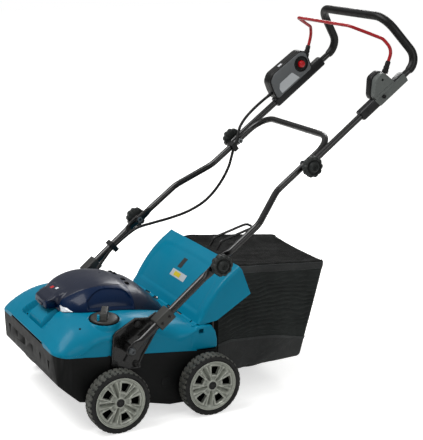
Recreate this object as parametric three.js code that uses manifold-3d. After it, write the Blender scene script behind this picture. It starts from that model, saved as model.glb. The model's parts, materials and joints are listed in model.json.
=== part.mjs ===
// A cordless lawn dethatcher with a grass box, in millimetres, +Z up, nose towards -Y.
// Every piece is drawn from the front axle's centre line, and the machine is then moved so
// that the origin is on the ground under the middle of its length.
// "Left" is the operator's left, +X.
import * as THREE from 'three';
import { mergeVertices } from 'three/addons/utils/BufferGeometryUtils.js';
import Module from 'manifold-3d';

const wasm = await Module();
wasm.setup();

// ---- driving dimensions ----------------------------------------------------------------
const frontAxleY = -389.45;        // front axle in the finished frame
const gap = 0.4;                  // running gap between pieces that touch

const wheelRadius = 83;
const axlePivot = { y: 38, z: 85 };
const crossShaftRadius = 7;
const wheelOuterX = 282;
const tyreWidth = 41;
const rimRadius = 67;
const rearAxleY = 262.4;
const axleRadius = 6;

const deckHalfWidth = 229;
const deckFrontY = -152;
const deckCornerRadius = 40;
const deckRearY = 300;
const wall = 3.5;

const reelY = 150;
const reelZ = 96;
const reelTipRadius = 90;
const chamberRadius = 98;
const chamberHalfWidth = 194;
const motorY = -35;
const motorZ = 150;
const motorPulleyRadius = 14;
const reelPulleyRadius = 42;
const beltX = -212;
const beltWidth = 12;

const lidSeamY = 105;             // where the lid ends and the fixed hood begins
const flapHinge = { y: 249, z: 231 };
const flapHalfWidth = 217;

const lowerTubeX = 258;
const lowerTubeRadius = 10.5;
const handleTubeRadius = 9;
const gripRadius = 12;
const lowerKnob = { y: 288, z: 411 };
const upperKnob = { y: 585, z: 633 };
const bracketBolt = { y: 41, z: 211 };
const middleTubeX = 193.5;        // middle handle beside the upper knobs
const upperTubeX = 213;           // upper handle beside the upper knobs
const knobRadius = 26;
const tongueLength = 34;          // flattened tube end, from the knob's axis to the round tube
const tongueThickness = 5;
const studRadius = 4;

const bailPivot = { y: 818, z: 854 };
const bailRadius = 4;
const cableRadius = 3.5;

// ---- materials -------------------------------------------------------------------------
function material(color, roughness, metalness = 0) {
  return new THREE.MeshStandardMaterial({ color, roughness, metalness });
}
const teal = material(0x1f8ba6, 0.35);
const navy = material(0x0e1a36, 0.18);
const greyGloss = material(0x4b4c52, 0.2);
const blackPlastic = material(0x1b1c1d, 0.55);
const darkGrey = material(0x4a4b4a, 0.55);
const lightGrey = material(0x8c9291, 0.5);
const silver = material(0xa7aaa3, 0.4, 0.2);
const rubber = material(0x1a1a1a, 0.85);
const blackTube = material(0x141414, 0.35, 0.4);
const foam = material(0x121212, 0.9);
const steel = material(0xb0b4b8, 0.3, 0.9);
const red = material(0xb3141b, 0.3);
const fabric = material(0x1d1d1e, 0.95);

// ---- solids and scene helpers ----------------------------------------------------------
const machine = new THREE.Group();
machine.position.y = frontAxleY;

// A three.js geometry as a manifold solid: corners welded, slivers dropped, faces out.
function solid(geometry) {
  const bare = geometry.clone();
  bare.deleteAttribute('normal');
  bare.deleteAttribute('uv');
  const welded = mergeVertices(bare, 1e-3);
  const corners = welded.index.array;
  const kept = [];
  for (let i = 0; i < corners.length; i += 3) {
    const [a, b, c] = [corners[i], corners[i + 1], corners[i + 2]];
    if (a !== b && b !== c && c !== a) kept.push(a, b, c);
  }
  const build = (order) => new wasm.Manifold(new wasm.Mesh({
    numProp: 3,
    vertProperties: new Float32Array(welded.attributes.position.array),
    triVerts: new Uint32Array(order),
  }));
  const shape = build(kept);
  return shape.volume() > 0 ? shape : build(kept.reverse());
}

function surface(shape) {
  const { vertProperties, triVerts } = shape.getMesh();
  const geometry = new THREE.BufferGeometry();
  geometry.setAttribute('position', new THREE.BufferAttribute(vertProperties, 3));
  geometry.setIndex(new THREE.BufferAttribute(triVerts, 1));
  geometry.computeVertexNormals();
  return geometry;
}

// Adds a piece to the machine, without any sliver that a cut has left beside its main body.
function add(name, shape, finish) {
  const [body] = shape.decompose().sort((a, b) => b.volume() - a.volume());
  const mesh = new THREE.Mesh(surface(body), finish);
  mesh.name = name;
  machine.add(mesh);
  return mesh;
}

const join = (shapes) => shapes.reduce((whole, shape) => whole.add(shape));
const mirrored = (shape) => shape.mirror([1, 0, 0]);

function box(x0, x1, y0, y1, z0, z1) {
  const geometry = new THREE.BoxGeometry(x1 - x0, y1 - y0, z1 - z0);
  return solid(geometry.translate((x0 + x1) / 2, (y0 + y1) / 2, (z0 + z1) / 2));
}

// A round bar along X.
function bar(x0, x1, y, z, radius, sides = 24) {
  const geometry = new THREE.CylinderGeometry(radius, radius, x1 - x0, sides);
  return solid(geometry.rotateZ(Math.PI / 2).translate((x0 + x1) / 2, y, z));
}

// A ring turned about the X axis from [x, radius] pairs, placed at y, z.
function turned(profile, y, z, sides = 36) {
  const points = profile.map(([x, radius]) => new THREE.Vector2(radius, x));
  points.push(points[0].clone());
  const geometry = new THREE.LatheGeometry(points, sides).rotateZ(-Math.PI / 2);
  return solid(geometry.translate(0, y, z));
}

function outline(points) {
  return new THREE.Shape(points.map(([a, b]) => new THREE.Vector2(a, b)));
}

// A side-view outline of [y, z] points, carried from x0 to x1.
function sideSlab(points, x0, x1) {
  const geometry = new THREE.ExtrudeGeometry(outline(points), { depth: x1 - x0, bevelEnabled: false });
  const sideView = new THREE.Matrix4().makeBasis(
    new THREE.Vector3(0, 1, 0), new THREE.Vector3(0, 0, 1), new THREE.Vector3(1, 0, 0));
  return solid(geometry.applyMatrix4(sideView).translate(x0, 0, 0));
}

// A top-view outline of [x, y] points, carried from z0 to z1.
function planSlab(points, z0, z1) {
  const geometry = new THREE.ExtrudeGeometry(outline(points), { depth: z1 - z0, bevelEnabled: false });
  return solid(geometry.translate(0, 0, z0));
}

function circle(cx, cy, radius, sides) {
  return Array.from({ length: sides }, (_, i) => {
    const angle = (2 * Math.PI * i) / sides;
    return [cx + radius * Math.cos(angle), cy + radius * Math.sin(angle)];
  });
}

// A smooth curve through [position, value] pairs.
function smooth(pairs) {
  return (at) => {
    const last = pairs.length - 1;
    const t = Math.min(Math.max(at, pairs[0][0]), pairs[last][0]);
    let i = 0;
    while (i < last - 1 && t > pairs[i + 1][0]) i += 1;
    const slope = (k) => {
      const [a, b] = [Math.max(k - 1, 0), Math.min(k + 1, last)];
      return (pairs[b][1] - pairs[a][1]) / (pairs[b][0] - pairs[a][0]);
    };
    const [t0, v0] = pairs[i];
    const [t1, v1] = pairs[i + 1];
    const h = t1 - t0;
    const s = (t - t0) / h;
    return v0 * (1 + 2 * s) * (1 - s) ** 2 + v1 * s * s * (3 - 2 * s)
      + slope(i) * h * s * (1 - s) ** 2 - slope(i + 1) * h * s * s * (1 - s);
  };
}

// A closed block whose grid of u, v, w (each 0 to 1) is mapped to [x, y, z].
function mappedBlock(nu, nv, nw, map) {
  const geometry = new THREE.BoxGeometry(1, 1, 1, nu, nv, nw).translate(0.5, 0.5, 0.5);
  const place = geometry.attributes.position;
  for (let i = 0; i < place.count; i += 1) {
    place.setXYZ(i, ...map(place.getX(i), place.getY(i), place.getZ(i)));
  }
  return solid(geometry);
}

const superellipse = (s, power) => (1 - Math.min(Math.abs(s), 1) ** power) ** (1 / power);

// ---- tubes -----------------------------------------------------------------------------
const at = (x, y, z) => new THREE.Vector3(x, y, z);

// Straight runs between corner points, with every inner corner bent to its own radius.
function bent(corners, radii, steps = 5) {
  const points = [corners[0]];
  for (let i = 1; i < corners.length - 1; i += 1) {
    const corner = corners[i];
    const radius = Array.isArray(radii) ? radii[i - 1] : radii;
    const before = corner.clone().sub(corners[i - 1]).normalize();
    const after = corners[i + 1].clone().sub(corner).normalize();
    const turn = before.angleTo(after);
    const axis = before.clone().cross(after).normalize();
    const start = corner.clone().addScaledVector(before, -radius * Math.tan(turn / 2));
    const centre = start.clone().addScaledVector(axis.clone().cross(before), radius);
    for (let k = 0; k <= steps; k += 1) {
      points.push(start.clone().sub(centre).applyAxisAngle(axis, (turn * k) / steps).add(centre));
    }
  }
  points.push(corners[corners.length - 1]);
  return points;
}

// A curve that visits its points one by one, so that a sweep has a ring at each of them.
class Run extends THREE.Curve {
  constructor(points) {
    super();
    this.points = points;
  }
  getPoint(t) {
    const place = t * (this.points.length - 1);
    const i = Math.min(Math.floor(place), this.points.length - 2);
    return this.points[i].clone().lerp(this.points[i + 1], place - i);
  }
  getPointAt(u) {
    return this.getPoint(u);
  }
  getTangentAt(u) {
    const i = Math.round(u * (this.points.length - 1));
    const before = this.points[Math.max(i - 1, 0)];
    const after = this.points[Math.min(i + 1, this.points.length - 1)];
    return after.clone().sub(before).normalize();
  }
}

function tube(points, radius, sides = 12) {
  const section = outline(circle(0, 0, radius, sides));
  return solid(new THREE.ExtrudeGeometry(section, {
    steps: points.length - 1, extrudePath: new Run(points), bevelEnabled: false,
  }));
}

// A point on the line through two side-view points, at a given distance from the first.
function along(from, to, distance, x) {
  const length = Math.hypot(to.y - from.y, to.z - from.z);
  const s = distance / length;
  return at(x, from.y + (to.y - from.y) * s, from.z + (to.z - from.z) * s);
}

// A flat strip centred on a side-view line, from one distance along it to another.
function strip(from, to, start, end, width, x0, x1) {
  const length = Math.hypot(to.y - from.y, to.z - from.z);
  const geometry = new THREE.BoxGeometry(x1 - x0, end - start, width);
  geometry.translate((x0 + x1) / 2, (start + end) / 2, 0);
  geometry.rotateX(Math.asin((to.z - from.z) / length));
  return solid(geometry.translate(0, from.y, from.z));
}

// ---- deck surfaces ---------------------------------------------------------------------
// Heights against y: the seam between cover and housing, the cover's shoulder and crown.
const seamZ = smooth([[-152, 217], [-75, 201], [84, 185], [263, 165]]);
const shoulderZ = smooth([[-152, 219], [-88, 226], [0, 239], [110, 238], [249, 228]]);
const crownZ = smooth([[-152, 222], [-128, 250], [-88, 277], [-30, 286], [60, 282], [136, 268],
  [249, 234]]);

function deckHalfWidthAt(y, inset = 0) {
  const radius = deckCornerRadius - inset;
  const fromFront = Math.max(y - (deckFrontY + inset), 0);
  const cut = fromFront < radius ? radius - Math.sqrt(radius ** 2 - (radius - fromFront) ** 2) : 0;
  return deckHalfWidth - inset - cut;
}

// The cover's outside, or a copy drawn in by an inset, filled down to the seam or below it.
function coverBlock(inset, rearY, bottomZ) {
  const frontY = deckFrontY + inset;
  return mappedBlock(13, 10, 1, (u, v, w) => {
    const y = frontY + (rearY - frontY) * v ** 1.4;
    const across = Math.sin((u - 0.5) * Math.PI);
    const shoulder = shoulderZ(y) - inset;
    const top = shoulder + (crownZ(y) - inset - shoulder) * superellipse(across, 4);
    return [across * deckHalfWidthAt(y, inset), y, w > 0.5 ? top : bottomZ(y)];
  });
}

const coverRearY = flapHinge.y - 8;
const knuckleX = [-200, -75, 75, 200];

// ---- lower housing ---------------------------------------------------------------------
function deckPlan(inset) {
  const radius = deckCornerRadius - inset;
  const front = deckFrontY + inset;
  const side = deckHalfWidth - inset;
  const corner = (sign) => Array.from({ length: 6 }, (_, i) => {
    const angle = (Math.PI / 2) * (i / 5);
    return [sign * (side - radius + radius * Math.sin(angle)), front + radius - radius * Math.cos(angle)];
  });
  return [...corner(-1).reverse(), ...corner(1), [side, deckRearY - inset], [-side, deckRearY - inset]];
}

function lowerHousing() {
  const underside = [[-144, 132], [-92, 84], [105, 45], [160, 31], [200, 30], [deckRearY, 72]];
  const seamEdge = Array.from({ length: 15 }, (_, i) => {
    const y = deckRearY + ((deckFrontY - deckRearY) * i) / 14;
    return [y, seamZ(y)];
  });
  const outside = sideSlab([...underside, ...seamEdge], -300, 300).intersect(planSlab(deckPlan(0), 0, 300));
  const floor = underside.map(([y, z]) => [y, z + wall + 1]);
  const pocket = sideSlab([...floor, [deckRearY, 300], [deckFrontY, 300]], -300, 300)
    .intersect(planSlab(deckPlan(wall), 0, 320));
  const aboveGround = sideSlab([[20, 74], [20, 300], [deckRearY, 300], ...underside.slice(2).reverse()],
    -300, 300);
  const tunnel = (radius, half, roof) => bar(-half, half, reelY, reelZ, radius, 28)
    .add(sideSlab([[reelY, 60], [reelY, reelZ + radius], [coverRearY - 6, 220 + roof],
      [coverRearY - 6, 60]], -half, half));
  const way = sideSlab([[70, -20], [70, 96], [reelY, 150], [coverRearY - 7, 150], [coverRearY - 7, 226],
    [deckRearY + 10, 262], [deckRearY + 10, -20]], -chamberHalfWidth, chamberHalfWidth);
  const cheekX = chamberHalfWidth + wall;
  const cheeks = box(-cheekX, cheekX, reelY, deckRearY - 1, 50, seamZ(260));
  let housing = outside.subtract(pocket)
    .add(tunnel(chamberRadius + wall, cheekX, wall).intersect(aboveGround))
    .add(cheeks.intersect(outside))
    .subtract(tunnel(chamberRadius, chamberHalfWidth, 0))
    .subtract(way);
  const drain = box(-chamberHalfWidth, chamberHalfWidth, 70, deckRearY + 10, -20, 60);
  housing = housing.subtract(drain);
  const shaftHoles = [
    bar(-225, 225, reelY, reelZ, 12), bar(-300, 300, rearAxleY, wheelRadius, axleRadius + gap),
    bar(-300, 300, axlePivot.y, axlePivot.z, crossShaftRadius + gap),
  ];
  const bolts = [-1, 1].flatMap((side) => [bracketBolt, { y: 70, z: 262 }].map(
    ({ y, z }) => bar(side * 200 - 60, side * 200 + 60, y, z, 5)));
  return shaftHoles.concat(bolts).reduce((rest, hole) => rest.subtract(hole), housing);
}
add('lower_housing', lowerHousing(), blackPlastic);

// ---- upper cover -----------------------------------------------------------------------
const dial = { x: 178, y: 0, radius: 37, tilt: (7.5 * Math.PI) / 180, turn: (62 * Math.PI) / 180 };
const bay = { halfX: 104, y0: -58, y1: 74 };   // battery bay's opening

function coverTopAt(x, y) {
  const shoulder = shoulderZ(y);
  return shoulder + (crownZ(y) - shoulder) * superellipse(x / deckHalfWidthAt(y), 4);
}

// A shape drawn round the dial's centre, laid on the cover's slope.
function onDial(geometry) {
  return solid(geometry.rotateY(dial.tilt).translate(dial.x, dial.y, coverTopAt(dial.x, dial.y) + 1.6));
}

function upperCover() {
  const below = (drop) => (y) => seamZ(y) - drop;
  const skin = coverBlock(0, coverRearY, (y) => seamZ(y) + 2 * gap)
    .subtract(coverBlock(wall, coverRearY + 30, below(30)));
  const hornY = coverRearY - 12;
  const horn = [[hornY, seamZ(hornY) + 1], [hornY, 226], [270, 229], [deckRearY, seamZ(deckRearY) + 1]];
  const hornSlab = sideSlab(horn, deckHalfWidth - wall - 1, deckHalfWidth);
  const scoop = mappedBlock(6, 4, 1, (u, v, w) => {
    const y = deckFrontY + 16 + 56 * v;
    const half = 78 - 14 * v;
    return [(u - 0.5) * 2 * half, y, w > 0.5 ? 330 : crownZ(y) - 1.5 - 14 * Math.sin(Math.PI * v)];
  });
  const scoopFloor = scoop.translate([0, 0, -wall]).intersect(coverBlock(wall - 0.5, coverRearY, below(0)))
    .subtract(scoop);
  const knuckles = knuckleX.map((x) => bar(x - 14, x + 14, flapHinge.y, flapHinge.z, 6, 12)
    .add(box(x - 14, x + 14, coverRearY - 6, flapHinge.y, flapHinge.z - 2, flapHinge.z + 3.5)));
  return join([skin, hornSlab, mirrored(hornSlab), scoopFloor, ...knuckles])
    .subtract(scoop)
    .subtract(box(-bay.halfX, bay.halfX, bay.y0, bay.y1, 200, 400))
    .subtract(bar(-300, 300, flapHinge.y, flapHinge.z, 3 + gap, 12))
    .subtract(onDial(new THREE.CylinderGeometry(9, 9, 60, 20).rotateX(Math.PI / 2)))
    .subtract(bar(-300, 300, bracketBolt.y, bracketBolt.z, 5, 16));
}
add('upper_cover', upperCover(), teal);

// ---- battery lid and rear hood ---------------------------------------------------------
const lidHalfWidth = smooth([[-82, 90], [-40, 127], [10, 138], [80, 139], [lidSeamY, 137], [200, 112]]);
const lidCrownZ = smooth([[-82, 306], [-27, 338], [20, 348], [80, 341], [lidSeamY, 332], [150, 314],
  [200, 268]]);

// The dome that lid and hood are cut from, drawn in by an inset.
function domeBlock(y0, y1, inset) {
  return mappedBlock(12, 6, 1, (u, v, w) => {
    const y = y0 + (y1 - y0) * v;
    const across = Math.sin((u - 0.5) * Math.PI);
    const base = crownZ(y) - 12;
    const top = base + (lidCrownZ(y) - inset - base) * superellipse(across, 2.4);
    return [across * (lidHalfWidth(y) - inset), y, w > 0.5 ? top : base - 30];
  });
}
const aboveCover = coverBlock(-2 * gap, coverRearY + 20, () => 100);

function noseBlock(inset) {
  const profile = [[-112 + inset, 281], [-110 + inset, 303 - inset], [-84, 317 - inset],
    [-60, 322 - inset], [-60, 281]];
  return sideSlab(profile, -43.5 + inset, 43.5 - inset);
}

function panelPrism(inset) {
  const edge = [[44, -104], [60, -76], [84, -20], [88, 40], [80, lidSeamY - 5]];
  const left = edge.map(([x, y]) => [x - inset, y + (y < 0 ? inset : -inset)]);
  return planSlab([...left, ...left.map(([x, y]) => [-x, y]).reverse()], 200, 420);
}

const lidSeat = lidSeamY - gap;
const lidOutside = domeBlock(-82, lidSeat, 0).add(noseBlock(0)).subtract(aboveCover);
const lidBody = lidOutside
  .subtract(domeBlock(-76, lidSeat - 4, 6))
  .subtract(noseBlock(5).translate([0, 4, -2]));
const belowPanel = domeBlock(-82, lidSeat, 3.2).add(noseBlock(3.2));
add('battery_lid', lidBody.subtract(lidOutside.subtract(belowPanel).intersect(panelPrism(0))), navy);
const panelUnderside = domeBlock(-82, lidSeat, 2).add(noseBlock(2));
add('lid_top_panel', lidOutside.subtract(panelUnderside).intersect(panelPrism(2 * gap)), greyGloss);

const hood = domeBlock(lidSeamY, 200, 0).subtract(domeBlock(lidSeamY + 3, 197, 3)).subtract(aboveCover);
add('rear_hood', hood, greyGloss);

// ---- battery bay, motor and belt drive -------------------------------------------------
function batteryTray() {
  const { halfX, y0, y1 } = bay;
  return box(-halfX + gap, halfX - gap, y0 + gap, y1 - gap, 212, 278)
    .subtract(box(-halfX + 4, halfX - 4, y0 + 4, y1 - 4, 215, 300));
}
add('battery_tray', batteryTray(), blackPlastic);
for (const [name, side] of [['battery_pack_left', 1], ['battery_pack_right', -1]]) {
  const body = box(side * 50 - 38, side * 50 + 38, -50, 66, 215 + gap, 268);
  const shoe = box(side * 50 - 30, side * 50 + 30, -44, 60, 267, 290);
  add(name, body.add(shoe), darkGrey);
}

function motorHousing() {
  const can = bar(-186, -80, motorY, motorZ, 43, 24);
  const cap = bar(-80.5, -64, motorY, motorZ, 30, 16);
  const foot = box(-176, -90, motorY - 30, motorY + 30, 86, 112);
  const shaftWay = bar(-200, -100, motorY, motorZ, 6.4, 20);
  return can.add(cap).add(foot).subtract(shaftWay);
}
add('motor_housing', motorHousing(), darkGrey);

// A pulley whose flanges stand outside the belt.
function pulley(radius, y, z) {
  const flange = beltWidth / 2 + 4;
  return turned([[-flange, 0], [-flange, radius + 4], [-beltWidth / 2, radius - gap],
    [beltWidth / 2, radius - gap], [flange, radius + 4], [flange, 0]], y, z, 24).translate([beltX, 0, 0]);
}
const motorShaft = bar(beltX, -104, motorY, motorZ, 6, 16);
add('motor_pulley', pulley(motorPulleyRadius, motorY, motorZ).add(motorShaft), steel);

function driveBelt() {
  const span = Math.hypot(reelY - motorY, reelZ - motorZ);
  const heading = Math.atan2(reelZ - motorZ, reelY - motorY);
  const lean = Math.acos((motorPulleyRadius - reelPulleyRadius) / span);
  const loop = (extra) => {
    const arc = (cy, cz, radius, from, to) => Array.from({ length: 17 }, (_, i) => {
      const angle = heading + from + ((to - from) * i) / 16;
      return [cy + (radius + extra) * Math.cos(angle), cz + (radius + extra) * Math.sin(angle)];
    });
    return [...arc(motorY, motorZ, motorPulleyRadius, lean, 2 * Math.PI - lean),
      ...arc(reelY, reelZ, reelPulleyRadius, -lean, lean)];
  };
  const half = beltWidth / 2 - 1.5;
  return sideSlab(loop(4), beltX - half, beltX + half).subtract(sideSlab(loop(0), beltX - 20, beltX + 20));
}
add('drive_belt', driveBelt(), rubber);

// ---- tine reel -------------------------------------------------------------------------
function reelShaft() {
  const discs = [-186, 186].map((x) => bar(x - 3, x + 3, reelY, reelZ, 58, 20));
  const hub = bar(-3, 3, reelY, reelZ, 34, 20);
  return join([bar(beltX - 12, 208, reelY, reelZ, 9, 20), hub, ...discs]);
}
add('reel_shaft', reelShaft(), steel);

// One row of spring tines on its bar, at an angle round the reel.
function tineRow(angle) {
  const barRadius = 46;
  const turn = (shape) => shape.rotate([(angle * 180) / Math.PI, 0, 0]).translate([0, reelY, reelZ]);
  const rod = bar(-182.5, 182.5, 0, 0, 4, 6);
  const tines = [];
  for (let x = -165; x <= 165; x += 30) {
    tines.push(tube([at(x, 0, 0), at(x, -6, reelTipRadius - barRadius)], 2.4, 4));
  }
  return turn(join([rod, ...tines]).translate([0, 0, barRadius]));
}
for (let i = 0; i < 4; i += 1) {
  add(`tine_row_${i + 1}`, tineRow((i * Math.PI) / 2 + 0.5), steel);
}
add('reel_pulley', pulley(reelPulleyRadius, reelY, reelZ)
  .subtract(bar(beltX - 20, beltX + 20, reelY, reelZ, 9 + gap, 20)), darkGrey);
for (const [name, side] of [['reel_bearing_left', 1], ['reel_bearing_right', -1]]) {
  const x = side * (chamberHalfWidth + wall + gap + 1.6);
  const ring = turned([[x - 1.6, 9.5], [x - 1.6, 20], [x + 1.6, 20], [x + 1.6, 9.5]], reelY, reelZ, 20);
  add(name, ring, steel);
}

// ---- axles and wheels ------------------------------------------------------------------
add('rear_axle', bar(-wheelOuterX + 7, wheelOuterX - 7, rearAxleY, wheelRadius, axleRadius, 20), steel);

// The front axle is a crank: a cross shaft in the deck, and wheel stubs set off from it.
function frontAxle() {
  const crank = [[-9, wheelRadius - 8], [6, wheelRadius - 9], [46, 75], [46, 96], [-6, 93]];
  const cross = bar(-235, 235, axlePivot.y, axlePivot.z, crossShaftRadius, 16);
  const stub = bar(231, wheelOuterX - 7, 0, wheelRadius, axleRadius, 20);
  const arm = sideSlab(crank, 230.5, 236);
  return join([cross, stub, mirrored(stub), arm, mirrored(arm)]);
}
add('front_axle', frontAxle(), steel);

function tyre() {
  const half = tyreWidth / 2;
  return turned([[-half, rimRadius + 1], [-half, wheelRadius - 5], [-half + 5, wheelRadius],
    [half - 5, wheelRadius], [half, wheelRadius - 5], [half, rimRadius + 1]], 0, 0, 24);
}

function rim(phase) {
  const half = tyreWidth / 2;
  const profile = [[-half + 1, axleRadius + gap], [-half + 1, 16], [half - 12, 18],
    [half - 10, rimRadius - 6], [-half + 1, rimRadius - 5], [-half + 1, rimRadius],
    [half - 1, rimRadius], [half - 3, rimRadius - 5], [half - 6, 18], [half - 4, axleRadius + gap]];
  const windows = [0, 1, 2, 3, 4].map((i) => {
    const hole = sideSlab([[-6, 30], [6, 30], [12, 54], [-12, 54]], 0, half + 5);
    return hole.rotate([phase + i * 72, 0, 0]);
  });
  return windows.reduce((rest, window) => rest.subtract(window), turned(profile, 0, 0, 20));
}

const wheelCentreX = wheelOuterX - tyreWidth / 2;
for (const [place, y, phase] of [['front', 0, -19], ['rear', rearAxleY, -10]]) {
  for (const [hand, side] of [['left', 1], ['right', -1]]) {
    for (const [piece, shape, finish] of [['tyre', tyre(), rubber], ['rim', rim(phase), silver]]) {
      const placed = (side > 0 ? shape : mirrored(shape)).translate([side * wheelCentreX, y, wheelRadius]);
      add(`${place}_${hand}_${piece}`, placed, finish);
    }
  }
}

// ---- depth dial ------------------------------------------------------------------------
// A disc with a finger bar, set on the cover's slope. Its shaft turns the front axle.
function depthDial() {
  const disc = new THREE.CylinderGeometry(dial.radius - 2, dial.radius, 7, 36).rotateX(Math.PI / 2);
  const stem = new THREE.CylinderGeometry(7, 7, 40, 16).rotateX(Math.PI / 2);
  const grip = new THREE.BoxGeometry(18, 60, 26).translate(0, 0, 16).rotateZ(dial.turn);
  return join([onDial(disc.translate(0, 0, 3.5)), onDial(stem.translate(0, 0, -17)), onDial(grip)]);
}
add('depth_dial', depthDial(), darkGrey);

// ---- discharge flap --------------------------------------------------------------------
const flapArc = [[251, 236], [271, 273], [304, 318], [337, 351], [374, 378]];
const flapArcCurve = new THREE.SplineCurve(flapArc.map(([y, z]) => new THREE.Vector2(y, z)));
function flap() {
  const arcPoints = flapArcCurve.getPoints(12).map(({ x, y }) => [x, y]);
  const side = (points) => [...points, [406, 300], [305, 240]];
  const outer = sideSlab(side(arcPoints), -flapHalfWidth, flapHalfWidth);
  const arcInside = arcPoints.map(([y, z]) => [y + 2.6, z - 2.8]);
  const inner = sideSlab([...arcInside, [420, 360], [420, 260], [290, 200]],
    -flapHalfWidth + wall, flapHalfWidth - wall);
  const barrels = [-150, 0, 150].map((x) => bar(x - 30, x + 30, flapHinge.y, flapHinge.z, 6, 16)
    .add(box(x - 30, x + 30, flapHinge.y - 1, flapHinge.y + 7, flapHinge.z, flapHinge.z + 12)));
  const notches = join(knuckleX.map((x) => bar(x - 15, x + 15, flapHinge.y, flapHinge.z, 7, 12)));
  return outer.subtract(inner).add(join(barrels)).subtract(notches)
    .subtract(bar(-300, 300, flapHinge.y, flapHinge.z, 3 + gap, 12));
}
add('discharge_flap', flap(), teal);
add('flap_hinge_rod', bar(-214, 214, flapHinge.y, flapHinge.z, 3, 12), steel);

// ---- grass box -------------------------------------------------------------------------
const boxSide = { frontY: 312, topFront: [385, 368], topRear: [682, 338], footRear: [603, 60], footZ: 66 };
const boxHalf = smooth([[312, 186], [385, 172], [682, 156]]);

// The bag's outer shape, drawn in by an inset. It is open at the front.
function bagBlock(inset, openFront) {
  return mappedBlock(3, 8, 2, (u, v, w) => {
    const y0 = boxSide.frontY - openFront;
    const topY = y0 + (boxSide.topRear[0] - inset - y0) * v;
    const topZ = topY < 385 ? 316 + ((topY - 312) * 52) / 73 : 368 - ((topY - 385) * 30) / 297;
    const footY = y0 + (boxSide.footRear[0] - inset - y0) * v;
    const y = footY + (topY - footY) * w;
    const foot = boxSide.footZ + inset;
    const z = foot + (topZ - inset - foot) * w;
    return [(u - 0.5) * 2 * (boxHalf(y) - inset), y, z];
  });
}
add('box_fabric', bagBlock(0, 0).subtract(bagBlock(3, 20)), fabric);

function boxFrame() {
  const y = boxSide.frontY - 5;
  const half = 188;
  const top = 292;
  const foot = 70;
  const ring = [at(0, y, foot), at(half, y, foot), at(half, y, top), at(-half, y, top), at(-half, y, foot),
    at(-1, y, foot)];
  const mouth = tube(bent(ring, 25, 3), 4, 6).add(bar(-5, 5, y, foot, 4.6, 8));
  const hookX = 208;
  const bend = [at(half, y, 200), at(hookX, y, 200), at(hookX, 282, 200), at(hookX, 282, foot + 100)];
  const hook = tube(bent(bend, 8, 3), 3.5, 6);
  return join([mouth, hook, mirrored(hook)]);
}
add('box_frame', boxFrame(), blackTube);

// A wire loop that stands on the bag's top, across its width.
function boxHandle() {
  const x = 22;
  const rearTop = [[398, 374], [414, 398], [514, 428], [526, 366]];
  const leg = (side) => rearTop.map(([y, z]) => at(side * x, y, z));
  const near = leg(1);
  const loop = [near[0], near[1], near[2], at(-x, 514, 428), at(-x, 414, 398), at(-x, 398, 374)];
  return tube(bent(loop, [8, 12, 12, 8], 4), 3, 8);
}
add('box_handle', boxHandle(), blackTube);

// ---- handle brackets and lower tubes ---------------------------------------------------
const plateX = [deckHalfWidth + gap, deckHalfWidth + 7];
function bracket() {
  const plate = sideSlab([[-4, 152], [-4, 190], [1, 250], [8, 258], [63, 288], [99, 284], [122, 296],
    [146, 272], [124, 246], [84, 184], [75, 166], [75, 152]], ...plateX);
  const face = plateX[1];
  const boss = bar(face - 1, lowerTubeX - tongueThickness / 2 - gap, bracketBolt.y, bracketBolt.z, 11, 20);
  const screws = [[70, 270], [4, 172], [63, 164]].map(([y, z]) => bar(face - 1, face + 3, y, z, 7, 12));
  return join([plate, boss, ...screws])
    .subtract(bar(200, 300, bracketBolt.y, bracketBolt.z, studRadius + gap, 16));
}

// Lower tube: flattened at both ends, for the bracket's bolt and for the knob.
const lowerRun = Math.hypot(lowerKnob.y - bracketBolt.y, lowerKnob.z - bracketBolt.z);
function lowerTube() {
  const x = lowerTubeX;
  const ends = [22, lowerRun - tongueLength].map((s) => along(bracketBolt, lowerKnob, s, x));
  const round = tube(ends, lowerTubeRadius, 16);
  const foot = strip(bracketBolt, lowerKnob, -14, 26, 24, x - tongueThickness / 2, x + tongueThickness / 2);
  const tongue = strip(bracketBolt, lowerKnob, lowerRun - tongueLength - 4, lowerRun + 13, 24,
    x + gap / 2, x + gap / 2 + tongueThickness);
  return join([round, foot, tongue])
    .subtract(bar(200, 300, bracketBolt.y, bracketBolt.z, studRadius + gap, 16))
    .subtract(bar(200, 300, lowerKnob.y, lowerKnob.z, studRadius + gap, 16));
}

function socket() {
  const block = strip(bracketBolt, lowerKnob, 92, 142, 32, plateX[1] + gap, lowerTubeX + 15);
  const core = strip(bracketBolt, lowerKnob, 60, 170, 2 * (lowerTubeRadius + gap),
    lowerTubeX - lowerTubeRadius - gap, lowerTubeX + lowerTubeRadius + gap);
  return block.subtract(core);
}

function pivotBolt() {
  const x = lowerTubeX + tongueThickness / 2 + gap;
  const { y, z } = bracketBolt;
  return bar(plateX[0] - 14, x + 2, y, z, studRadius, 16).add(bar(x, x + 7, y, z, 9, 6))
    .add(bar(plateX[0] - 14, plateX[0] - 6, y, z, 8, 6));
}

for (const [hand, mirror] of [['left', false], ['right', true]]) {
  const place = (shape) => (mirror ? mirrored(shape) : shape);
  add(`handle_bracket_${hand}`, place(bracket()), blackPlastic);
  add(`lower_tube_${hand}`, place(lowerTube()), blackTube);
  add(`tube_socket_${hand}`, place(socket()), darkGrey);
  add(`pivot_bolt_${hand}`, place(pivotBolt()), steel);
}

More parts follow.
